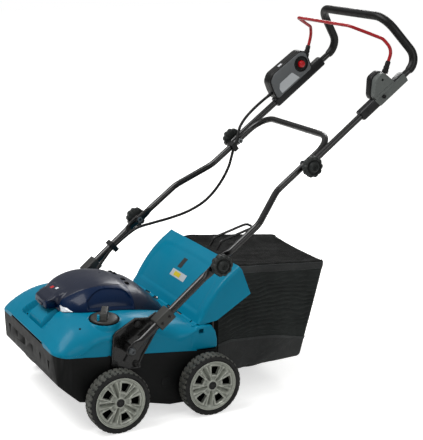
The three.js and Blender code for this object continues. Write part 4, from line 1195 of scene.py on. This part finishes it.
def make_flap():
    """The open flap: a swept face with a sunk pane, rolled edges and cheeks, its hinge and blank labels."""
    count = len(FLAP_ARC) - 1
    roll = 9
    flat = 60
    arc_steps = 8
    cheek_steps = 10

    def back(t):
        if t < 0.4:
            return (lerp(253, 305, t / 0.4), lerp(234, 240, t / 0.4))
        return (lerp(305, 406, (t - 0.4) / 0.6), lerp(240, 300, (t - 0.4) / 0.6))
    rows = []
    for i, p in enumerate(FLAP_ARC):
        t = i / count
        before, after = FLAP_ARC[max(i - 1, 0)], FLAP_ARC[min(i + 1, count)]
        way = (after - before).normalized()
        inward = Vector((0, way.z, -way.y))
        radius = roll * ease(-0.02, 0.12, t)
        half = []
        b = Vector((FLAP_HALF, *back(t)))
        top = Vector((FLAP_HALF, p.y, p.z)) + inward * radius
        for k in range(cheek_steps):
            half.append(b.lerp(top, k / cheek_steps))
        for k in range(arc_steps + 1):
            a = pi / 2 * k / arc_steps
            half.append(Vector((FLAP_HALF - radius * (1 - cos(a)), p.y, p.z))
                        + inward * radius * (1 - sin(a)))
        face = []
        for k in range(1, flat):
            x = lerp(FLAP_HALF - radius, -(FLAP_HALF - radius), k / flat)
            pane = ease(0.10, 0.16, t) * ease(0.86, 0.78, t + 0.05 * (x / 200) ** 2) \
                * ease(196, 184, abs(x) + 14 * bump_at(t, 0.8, 0.2))
            face.append(Vector((x, p.y, p.z)) + inward * (2.4 * pane - 0.6 * flap_crown(x, t) + 0.6))
        rows.append(half + face + [Vector((-v.x, v.y, v.z)) for v in reversed(half)])
    width = len(rows[0])
    points = [p for r in rows for p in r]
    faces = [(j * width + i, j * width + i + 1, (j + 1) * width + i + 1, (j + 1) * width + i)
             for j in range(len(rows) - 1) for i in range(width - 1)]
    part("flap_shell", (points, faces), "teal", "flap", "discharge_flap", thick=3, angle=50)
    web = [(249, 234), (254, 229), (258, 244), (252, 243)]
    for i, x in enumerate((-150, 0, 150)):
        knuckle(f"flap_barrel_{i + 1}", x, 30, "flap")
        part(f"flap_web_{i + 1}", side_shape(web, x - 30, x + 30), "teal", "flap", edge=1)
    labels = (("plain_label", 2, 0.439, 88, 0.108, "label", 0.2),
              ("dark_label", -18, 0.625, 22, 0.17, "base", 0.2),
              ("yellow_label", -4, 0.439, 36, 0.066, "yellow", 0.55))
    for name, x0, t0, wide, tall, style, off in labels:
        def spot(u, v):
            t = (t0 + tall * (v - 0.5)) * count
            i = int(t)
            p = FLAP_ARC[i].lerp(FLAP_ARC[i + 1], t - i)
            way = (FLAP_ARC[i + 1] - FLAP_ARC[i]).normalized()
            outward = Vector((0, -way.z, way.y))
            x = x0 + wide * (u - 0.5)
            return Vector((x, p.y, p.z)) + outward * (0.6 * flap_crown(x, t / count) + off)
        part(name, grid(20, 8, spot), style, "flap", thick=0.5, offset=0)


make_flap()


# ---- depth dial --------------------------------------------------------------------------
def make_dial():
    """The depth dial: a disc tilted with the cover, its finger bar swung to the rest setting."""
    centre = (DIAL_X, 0, DIAL_SEAT + 1.2)

    def turned(shape, angle, axis, to=(0, 0, 0)):
        turn = Matrix.Rotation(angle, 3, axis)
        return [turn @ Vector(p) + Vector(to) for p in shape[0]], shape[1]

    def lay(shape):
        return turned(shape, DIAL_TILT, "Y", centre)

    def lay_swung(shape):
        return lay(turned(shape, radians(62), "Z"))

    def upright(profile, sides=64):
        points, faces = lathe([(h, r) for r, h in profile], 0, 0, sides)
        return [(y, z, x) for x, y, z in points], faces
    disc = upright([(0.3, 6.4), (20, 6.2), (31, 5.6), (33.2, 4.8), (35.4, 2.6), (36, 1.0), (36, 0), (0.3, 0)])
    part("dial_disc", lay(disc), "grey", "dial", "depth_dial", angle=30)
    fin = [(-28, 4), (-27, 17), (-21, 24.5), (8, 27.5), (22, 26), (28, 18), (30, 4)]
    part("dial_fin", lay_swung(side_shape(fin, -9, 9)), "grey", "dial", edge=2.4, segments=4)
    web = [(-20, 5), (-16, 9), (18, 9), (22, 5)]
    for side in (-1, 1):
        part(f"dial_web_{side + 2}", lay_swung(side_shape(web, side * 8, side * 12)), "grey", "dial", edge=2)
    part("dial_pointer", lay_swung(box_shape(-16, -9.5, -30, -22, 6, 22)), "teal", "dial", edge=1.2)
    # Painted shade: a near-black ring in the gap round the disc stands for the shade in the dial's recess.
    well = upright([(36.6, 1.0), (39.8, 1.4), (39.8, -1.2), (36.6, -1.6)])
    part("dial_well", lay(well), "dark", "chassis")


# ---- switch box and lever holder ---------------------------------------------------------
def leg_shape(outline, x0, x1):
    """An outline of (along, off) points beside the upper handle's leg, carried from x0 to x1."""
    return side_shape([on_leg(s, n)[1:] for s, n in outline], x0, x1)


def rounded(outline, radius, steps=5):
    """The outline with each corner rounded."""
    out = []
    count = len(outline)
    for i, corner in enumerate(outline):
        c = Vector(corner)
        a = Vector(outline[i - 1]) - c
        b = Vector(outline[(i + 1) % count]) - c
        reach = min(radius, 0.45 * a.length, 0.45 * b.length)
        start, end = c + a.normalized() * reach, c + b.normalized() * reach
        for k in range(steps + 1):
            t = k / steps
            out.append(tuple(start * (1 - t) ** 2 + c * 2 * t * (1 - t) + end * t * t))
    return out


def inset_outline(outline, distance):
    """The outline with each point moved towards the middle."""
    centre = Vector((sum(p[0] for p in outline) / len(outline), sum(p[1] for p in outline) / len(outline)))
    out = []
    for p in outline:
        way = Vector(p) - centre
        out.append(tuple(centre + way * (1 - distance / way.length)))
    return out


def bail_room(side):
    """The slot that the bail's end sweeps, from rest to pulled."""
    rest = atan2(930 - 854, 842 - 818)
    pulled = rest - radians(28)

    def corner(angle, offset, distance):
        return (818 + distance * cos(angle) - offset * 5.4 * sin(angle),
                854 + distance * sin(angle) + offset * 5.4 * cos(angle))
    wedge = [corner(rest, 1, -6), corner(rest, 1, 95), corner(pulled, -1, 95), corner(pulled, -1, -6)]
    return side_shape(wedge, side * 202.5, side * 217.5)


SWITCH_X, HOLDER_X = leg_x(250), leg_x(296)
BOX_OUTLINE = [(172, 10), (174, 40), (182, 70), (203, 84), (318, 80), (334, 66), (330, 46), (322, 10)]
HOLDER_OUTLINE = [(256, 10), (256, 26), (288, 66), (322, 64), (336, 10)]


def make_sleeve(name, start, end, x, side, style):
    """A sleeve round the tube, square with well rounded corners and a step at each end."""
    rings = []
    for s, half in ((start, 11.6), (start + 0.4, 13), (start + 3, 13.4), (start + 4, 14), (end - 4, 14),
                    (end - 3, 13.4), (end - 0.4, 13), (end, 11.6)):
        ring = []
        for k in range(48):
            a = TURN * k / 48
            c, q = cos(a), sin(a)
            stretch = 1 / (abs(c) ** 5 + abs(q) ** 5) ** 0.2
            point = on_leg(s, half * stretch * q)
            ring.append((side * (x + half * stretch * c), point[1], point[2]))
        rings.append(ring)
    return part(name, loft(rings), style, "upper")


def make_switch_box():
    """The switch box on the right leg: shell, rim, face with the lock-off button, label and gland."""
    x0, x1 = -(SWITCH_X + 21), -(SWITCH_X - 21)
    shell = raw("switch_shell", *leg_shape(rounded(BOX_OUTLINE, 9), x0, x1 - 9))
    apply_all(bevel(shell, 3, 4))
    button = on_leg(298, 46)

    def button_room(x, radius):
        return lathe([(x, 0.3), (x, radius), (x1 + 9, radius), (x1 + 9, 0.3)], button[1], button[2], 60)
    cut(shell, bail_room(-1), button_room(x1 - 16, 12))
    dress(shell, "fitting", "upper", "switch_box")
    rim_outline = [(172, 14), *BOX_OUTLINE[1:-1], (322, 14)]
    rim = raw("switch_rim", *leg_shape(rounded(rim_outline, 9), x1 - 8.6, x1 - 2.4))
    dress(cut(apply_all(bevel(rim, 1.2)), button_room(x1 - 16, 23)), "fitting", "upper")
    face = raw("switch_face", *leg_shape(rounded(inset_outline(BOX_OUTLINE, 5), 8), x1 - 6, x1 - 0.6))
    cut(face, button_room(x1 - 20, 23.8))
    dress(apply_all(bevel(face, 1.1, 3, 40)), "face", "upper")
    bezel = [(x1 - 8, 12.2), (x1 - 8, 23.6), (x1 - 1, 23.6), (x1, 23), (x1, 21), (x1 - 2, 20), (x1 - 2, 18.4),
             (x1, 17.6), (x1, 14.2), (x1 - 1, 12.2)]
    part("switch_bezel", lathe(bezel, button[1], button[2], 72), "fitting", "upper")
    knob = [(x1 - 5, 0.3), (x1 - 5, 10.6), (x1 + 2.4, 10.6), (x1 + 5, 9.6), (x1 + 6.4, 7), (x1 + 6.9, 3.5),
            (x1 + 7, 0.3)]
    part("lock_cap", lathe(knob, button[1], button[2], 48), "button", "button", "lock_button")
    label = rounded([(196, 17), (196, 33), (207, 46), (258, 46), (270, 17)], 3)
    part("switch_label", leg_shape(label, x1 - 0.8, x1 - 0.1), "label", "upper")
    stud = rounded([(238, 80.6), (238, 84), (252, 83.6), (252, 80.2)], 1.5)
    part("switch_stud", leg_shape(stud, x1 - 22, x1 - 12), "lens", "upper")
    make_sleeve("switch_sleeve", 168, 366, SWITCH_X, -1, "sleeve")
    turns = [TURN * k / 20 for k in range(20)]
    steps = ((160, 3.7), (160, 5), (163, 5.4), (163.4, 4.6), (166, 4.8), (166.4, 5.6), (169, 5.6),
             (169.4, 4.8), (174, 5.6), (180, 5.6))
    gland = [[(-SWITCH_X + r * cos(a), *on_leg(s, 32 + r * sin(a))[1:]) for a in turns] for s, r in steps]
    part("switch_gland", loft(gland), "rubber", "upper")


def make_holder():
    """The bail's holder on the left leg, in two halves, with its sleeve and screws."""
    x0, x1 = HOLDER_X - 21, HOLDER_X + 21
    back = raw("holder_back", *leg_shape(rounded(HOLDER_OUTLINE, 10), x0, x0 + 22))
    apply_all(bevel(back, 3, 4))
    cut(back, bail_room(1))
    dress(back, "fitting", "upper", "lever_holder")
    front_outline = [(258, 12), (258, 26), (290, 62), (320, 61), (334, 12)]
    front = raw("holder_front", *leg_shape(rounded(front_outline, 9), x0 + 22.4, x1))
    apply_all(bevel(front, 2.4, 4))
    cut(front, bail_room(1))
    spot = on_leg(305, 46)
    cut(front, lathe([(x1 - 8, 0.3), (x1 - 8, 3.6), (x1 + 4, 3.6), (x1 + 4, 0.3)], spot[1], spot[2], 20))
    seam = side_shape([on_leg(s, n)[1:] for s, n in ((258, 21), (334, 21), (334, 20.2), (258, 20.2))],
                      x1 - 1.2, x1 + 2)
    cut(front, seam)
    dress(front, "holder", "upper")
    make_sleeve("holder_sleeve", 202, 373, HOLDER_X, 1, "sleeve")
    plate = rounded([(263, -12.6), (256, 12.4), (371, 12.4), (371, -12.6)], 2)
    part("holder_plate", leg_shape(plate, HOLDER_X + 13.2, HOLDER_X + 15.6), "holder", "upper", edge=0.8)
    for i, s in enumerate((222, 284, 358)):
        spot = on_leg(s, 4)
        x = HOLDER_X + (21 if i == 1 else 14)
        seat = [(x - 2, 0.3), (x - 2, 5.4), (x + 0.6, 5), (x + 0.6, 3.4), (x - 0.6, 3), (x - 0.6, 0.3)]
        part(f"holder_screw_{i + 1}", lathe(seat, spot[1], spot[2], 24), "fitting", "upper")


def make_bail():
    """The red bail and the ribbed boot on each of its ends."""
    near = [(208, 818, 854), (212, 842, 930), (190, 826, 958), (138, 750, 992)]
    path = resampled(bent(near + mirror(near)[::-1], [34, 26, 24, 24, 26, 34], 12), 4)
    part("bail_rod", tube_mesh(path, lambda i: 4.7, 20), "bail", "bail", "bail_lever")
    for hand, side in HANDS:
        low, high = Vector((208.7, 822, 867)), Vector((210.4, 832.4, 899.6))
        way = high - low
        spots = [(0, 8.4), (0.05, 9), (0.28, 8.6), (0.3, 7.4), (0.38, 7.4), (0.4, 8.2), (0.58, 7.8),
                 (0.6, 6.8), (0.68, 6.8), (0.7, 7.4), (0.95, 6.8), (1, 5.4)]
        path = [low + way * t for t, _ in spots]
        boot = tube_mesh(path, lambda i: spots[i][1], 24)
        part(f"boot_{hand}", mirrored(boot, side), "rubber", "bail")


# ---- clips, bay, drive and reel ----------------------------------------------------------
def dress_frame():
    """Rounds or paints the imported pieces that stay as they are."""
    for node in ("lower_cable_clip", "upper_cable_clip"):
        refined(node, "fitting", 1.4)
    refined("cable_gland", "rubber", 0.6, 40)
    refined("battery_tray", "housing", 1.5)
    for hand, _ in HANDS:
        refined(f"battery_pack_{hand}", "dark", 4)
    refined("motor_housing", "alloy", 1.2, 40)
    refined("reel_pulley", "fitting", 0.8, 40)
    refined("drive_belt", "rubber", 0.5, 50)
    for node in ("motor_pulley", "reel_shaft", "tine_row_1", "tine_row_2", "tine_row_3", "tine_row_4",
                 "reel_bearing_left", "reel_bearing_right", "rear_axle", "front_axle", "flap_hinge_rod"):
        refined(node, "steel", 0.4, 50)


make_dial()
make_switch_box()
make_holder()
make_bail()
dress_frame()


# ---- grass box ---------------------------------------------------------------------------
BOX_HALF = smooth([(312, 186), (385, 172), (682, 156)])
BOX_FRONT, BOX_TOP_REAR, BOX_FOOT_REAR, BOX_FOOT = 312, 682, 603, 66
CORNER = 13


def bag_point(v, across, up):
    """The bag's outside: v runs back, across is -1 to 1, up is 0 to 1, before any cloth is let down."""
    top_y = lerp(BOX_FRONT, BOX_TOP_REAR, v)
    top_z = 316 + (top_y - 312) * 52 / 73 if top_y < 385 else 368 - (top_y - 385) * 30 / 297
    if 365 < top_y < 405:
        top_z -= 2.6 * bump_at(top_y, 385, 11)
    top_z += 6 * ease(0.2, -1, across) * ease(0, 0.3, v)
    foot_y = lerp(BOX_FRONT, BOX_FOOT_REAR, v)
    y = lerp(foot_y, top_y, up)
    return Vector((across * BOX_HALF(y), y, lerp(BOX_FOOT, top_z, up)))


def seam_share(v):
    """Height share of the seam between mesh side and base."""
    return lerp(0.335, 0.215, ease(0.0, 1.0, v)) - 0.02 * sin(v * 7)


def cloth(p, kind, v, up, across):
    """Lets the cloth down from its straight shape: sagging spans, wrinkles and rows of gathered mesh."""
    q = Vector((p.x * 0.006, p.y * 0.009, p.z * 0.009))
    slow = noise.noise(q)
    fine = noise.noise(q * 3.3 + Vector((7, 1, 3)))
    span = sin(pi * min(max(v, 0), 1)) ** 0.7
    if kind == "top":
        middle = (1 - abs(across) ** 2.4) * span
        crease = abs(noise.noise(Vector((p.x * 0.011, p.y * 0.004, 3.1))))
        rest_z = -17 * middle + (6.0 * slow + 1.8 * fine - 9 * crease) * min(1, 3 * middle)
        return Vector((p.x, p.y, p.z + rest_z))
    if kind == "side":
        free = sin(pi * min(max((up - 0.3) / 0.62, 0), 1)) ** 0.6 if up > 0.3 else 0
        drift = 11 * slow + 9 * sin(v * 7 + 1)
        wave = 2.6 * sin(TURN * (p.z + drift) / 12.5 + 3 * fine)
        fold = 2.6 * bump_at(v - 0.86 + 0.25 * (up - 0.5), 0, 0.05)
        push = -5 * free * span + (wave * (0.35 + 0.65 * free) + 2.2 * slow - fold) * min(1, 6 * v + 0.3)
        return Vector((p.x + copysign(push, p.x), p.y, p.z))
    fold = up - lerp(0, 0.24, (v - 0.3) / 0.5)
    crease = abs(noise.noise(Vector((p.y * 0.012, p.z * 0.03, 9.0))))
    push = 2.6 * fine + 3.5 * slow + 3 * bump_at(fold, 0, 0.03)
    push = push - 5 * bump_at(fold, -0.05, 0.04) - 3.2 * crease
    return Vector((p.x + copysign(min(push, 2.5) * span, p.x), p.y, p.z))


def rear_roll(v):
    """How far the bag's side draws in where it rolls round to the rear wall."""
    end = max((v - 0.965) / 0.035, 0)
    return CORNER * (1 - sqrt(max(1 - end * end, 0)))


def bag_rim(v, t, low, high, side, kind, grow):
    """A point of a side strip of the bag, from height share low to high, rolled over at top and foot."""
    up = lerp(low, high, t)
    p = bag_point(v, side, up)
    inset = 0.0
    height = bag_point(v, side, 1).z - BOX_FOOT
    for gap in ((1 - up) * height, up * height):
        if gap < CORNER:
            inset = max(inset, CORNER - sqrt(max(CORNER ** 2 - (CORNER - gap) ** 2, 0)))
    p.x -= side * (inset + rear_roll(v) + 3 - grow)
    return cloth(p, kind, v, up, side)


def make_bag():
    """The bag's panels, seams and hem, by name."""
    pieces = {}

    def panel(name, style, nu, nv, place, thick=1.0, nodes=()):
        pieces[name] = part(name, grid(nu, nv, place), style, "grass_box", *nodes, thick=thick, offset=0,
                            angle=60)

    def strip(name, style, low, high, kind, side, nu, nv, grow, thick=1.0):
        panel(name, style, nu, nv, lambda u, t: bag_rim(u, t, low(u), high(u), side, kind, grow), thick)
    for hand, side in HANDS:
        strip(f"bag_side_{hand}", "mesh", lambda v: seam_share(v) - 0.01, lambda v: 0.935, "side", side,
              110, 130, 0)
        strip(f"bag_base_{hand}", "base", lambda v: 0.0, seam_share, "base", side, 90, 46, 0.9)
        strip(f"bag_welt_{hand}", "welt", lambda v: seam_share(v) - 0.012, lambda v: seam_share(v) + 0.012,
              "side", side, 110, 3, 2.0, 1.4)

    flap, overhang = 0.16, 0.075

    def top(u, v):
        """The lid: level cloth, then a flap of the given share of its half width down each side."""
        across = 2 * u - 1
        side = 1 if across > 0 else -1
        reach = abs(across) * (1 + flap)
        if reach > 1:
            p = bag_rim(v, 1 - (reach - 1) / flap, 1 - overhang, 1, side, "flat", 1.6)
            return Vector((p.x, p.y, p.z + 0.6 * noise.noise(p * 0.03)))
        edge = 1 - (CORNER + 3 - 1.6) / BOX_HALF(lerp(BOX_FRONT, BOX_TOP_REAR, v))
        p = bag_point(v, side * reach * edge, 1)
        p.z -= 0.5 * rear_roll(v)
        p.x -= side * reach * rear_roll(v)
        return cloth(p, "top", v, 1, across * (1 + flap))
    panel("bag_top", "cloth", 120, 110, top)
    lid = pieces["bag_top"]
    lid.data.materials.append(LOOKS["base"][0])
    for polygon in lid.data.polygons:
        polygon.material_index = int(abs(polygon.normal.z) < 0.6)

    for hand, side in HANDS:
        # The edge and hem seams use the lighter welt cloth: a painted highlight band along the top's near
        # edge.
        for tag, up, grow, radius in (("edge", 0.985, 2.2, 1.3), ("hem", 0.928, 2.2, 1.0)):
            line = resampled([bag_rim(k / 90, 1, up, up, side, "flat", grow) for k in range(91)], 4)
            name = f"bag_{tag}_seam_{hand}"
            pieces[name] = part(name, tube_mesh(line, lambda i: radius, 10), "welt", "grass_box")

    def rear(u, t):
        across = 2 * u - 1
        p = bag_point(1, across * 0.912, lerp(0.01, 0.985, t))
        q = Vector((p.x * 0.008, p.z * 0.01, 5))
        wave = 1.3 * sin(TURN * (p.z + 7 * noise.noise(q)) / 12.5) if t > 0.26 else 0
        bulge = 6 * (1 - across ** 2) * sin(pi * t)
        return Vector((p.x, p.y - 8 + bulge + 0.6 * wave + 2 * noise.noise(q * 2), p.z))
    panel("bag_rear", "mesh", 90, 120, rear)

    def floor(u, t):
        p = bag_point(lerp(0, 0.985, t), (2 * u - 1) * 0.92, 0)
        return Vector((p.x, p.y, p.z + 3 + 2 * noise.noise(Vector((p.x * 0.01, p.y * 0.01, 2)))))
    panel("bag_floor", "base", 60, 60, floor, 1.6, ["box_fabric"])

    def mouth(u, t):
        """The hem round the bag's open end, sewn over the wire frame."""
        k = u * 4
        corners = [(-1, 0), (1, 0), (1, 1), (-1, 1), (-1, 0)]
        i = min(int(k), 3)
        a, b = corners[i], corners[i + 1]
        across, up = lerp(a[0], b[0], k - i), lerp(a[1], b[1], k - i)
        p = bag_point(0, across, up)
        out = 1.4 * sin(pi * t)
        return Vector((p.x * (1 - 2.2 / 186), p.y + 0.5 + 14 * t, p.z + (1 - up) * 3 - up * 1.5
                       + (9.97 * t if up == 1 else 0) + (out if up > 0.99 else 0)))
    panel("bag_hem", "cloth", 160, 5, mouth, 1.6)
    return pieces


def make_box_wires():
    """The wire round the mouth, the two hooks over the hinge rod, and the carrying handle."""
    y, half, top, foot = 307, 188, 292, 70
    ring = resampled(bent([(0, y, foot), (half, y, foot), (half, y, top), (-half, y, top), (-half, y, foot),
                           (-1, y, foot)], [25] * 4, 10), 6)
    part("box_mouth_wire", tube_mesh(ring, lambda i: 4, 16), "paint", "grass_box", "box_frame")
    for hand, side in HANDS:
        hook = resampled(bent([(side * half, y, 200), (side * 208, y, 200), (side * 208, 282, 200),
                               (side * 208, 282, 170)], [8, 8], 8), 4)
        part(f"box_hook_{hand}", tube_mesh(hook, lambda i: 3.5, 14), "paint", "grass_box")
    near = [(22, 404, 371), (22, 420, 396), (22, 522, 424)]
    loop = resampled(bent(near + mirror(near)[::-1], [8, 12, 12, 8], 8), 4)
    part("box_carry_wire", tube_mesh(loop, lambda i: 3.6, 16), "paint", "grass_box", "box_handle")


def make_grass_box():
    """The whole grass box: cloth, wires and what holds the cloth."""
    pieces = make_bag()
    make_box_wires()


make_grass_box()


# ---- floor and light ---------------------------------------------------------------------
def make_stage():
    """White paper floor, a world that is white to the camera and softer to the model, three lights."""
    size = 12
    mesh = bpy.data.meshes.new("floor")
    mesh.from_pydata([(-size, -size, 0), (size, -size, 0), (size, size, 0), (-size, size, 0)], [],
                     [(0, 1, 2, 3)])
    floor = bpy.data.objects.new("floor", mesh)
    bpy.context.scene.collection.objects.link(floor)
    n = Nodes("floor_paper")
    n.link(n.mix(n.span(n.noise(0.8, 3), 0, 1), colour("e9e9e7"), colour("eeeeec")), "Base Color")
    n.set(Roughness=0.9, Specular_IOR_Level=0.1, Emission_Color=(1, 1, 1, 1))
    camera_only = n.add("ShaderNodeLightPath").outputs["Is Camera Ray"]
    n.link(n.math("MULTIPLY", camera_only, 0.6), "Emission Strength")
    mesh.materials.append(n.material)
    world = bpy.data.worlds.new("studio")
    world.use_nodes = True
    tree = world.node_tree
    light_path = tree.nodes.new("ShaderNodeLightPath")
    geometry = tree.nodes.new("ShaderNodeTexCoord")
    split = tree.nodes.new("ShaderNodeSeparateXYZ")
    rise = tree.nodes.new("ShaderNodeMapRange")
    for key, value in (("From Min", 0.0), ("From Max", 0.9), ("To Min", 0.16), ("To Max", 0.62)):
        rise.inputs[key].default_value = value
    pick = tree.nodes.new("ShaderNodeMix")
    pick.data_type = "FLOAT"
    pick.inputs[3].default_value = 1.0
    tree.links.new(geometry.outputs["Generated"], split.inputs["Vector"])
    tree.links.new(split.outputs["Z"], rise.inputs["Value"])
    tree.links.new(light_path.outputs["Is Camera Ray"], pick.inputs[0])
    tree.links.new(rise.outputs["Result"], pick.inputs[2])
    tree.links.new(pick.outputs[0], tree.nodes["Background"].inputs["Strength"])
    tree.nodes["Background"].inputs["Color"].default_value = (1, 1, 1, 1)
    bpy.context.scene.world = world
    for name, place, aim, width, power in (("key", (-0.3, -1.9, 3.6), (0, 0, 0.3), 2.6, 105),
                                           ("fill", (3.4, 0.6, 1.8), (0, 0, 0.4), 2.2, 26),
                                           ("back", (-2.6, 2.4, 2.4), (0, 0.2, 0.5), 1.6, 45)):
        data = bpy.data.lights.new(name, "AREA")
        data.shape = "RECTANGLE"
        data.size, data.size_y, data.energy = width, width * 0.7, power
        light = bpy.data.objects.new(name, data)
        light.location = place
        light.rotation_mode = "QUATERNION"
        light.rotation_quaternion = (Vector(aim) - Vector(place)).to_track_quat("-Z", "Y")
        bpy.context.scene.collection.objects.link(light)
    bpy.context.scene.view_settings.view_transform = "Standard"


make_stage()
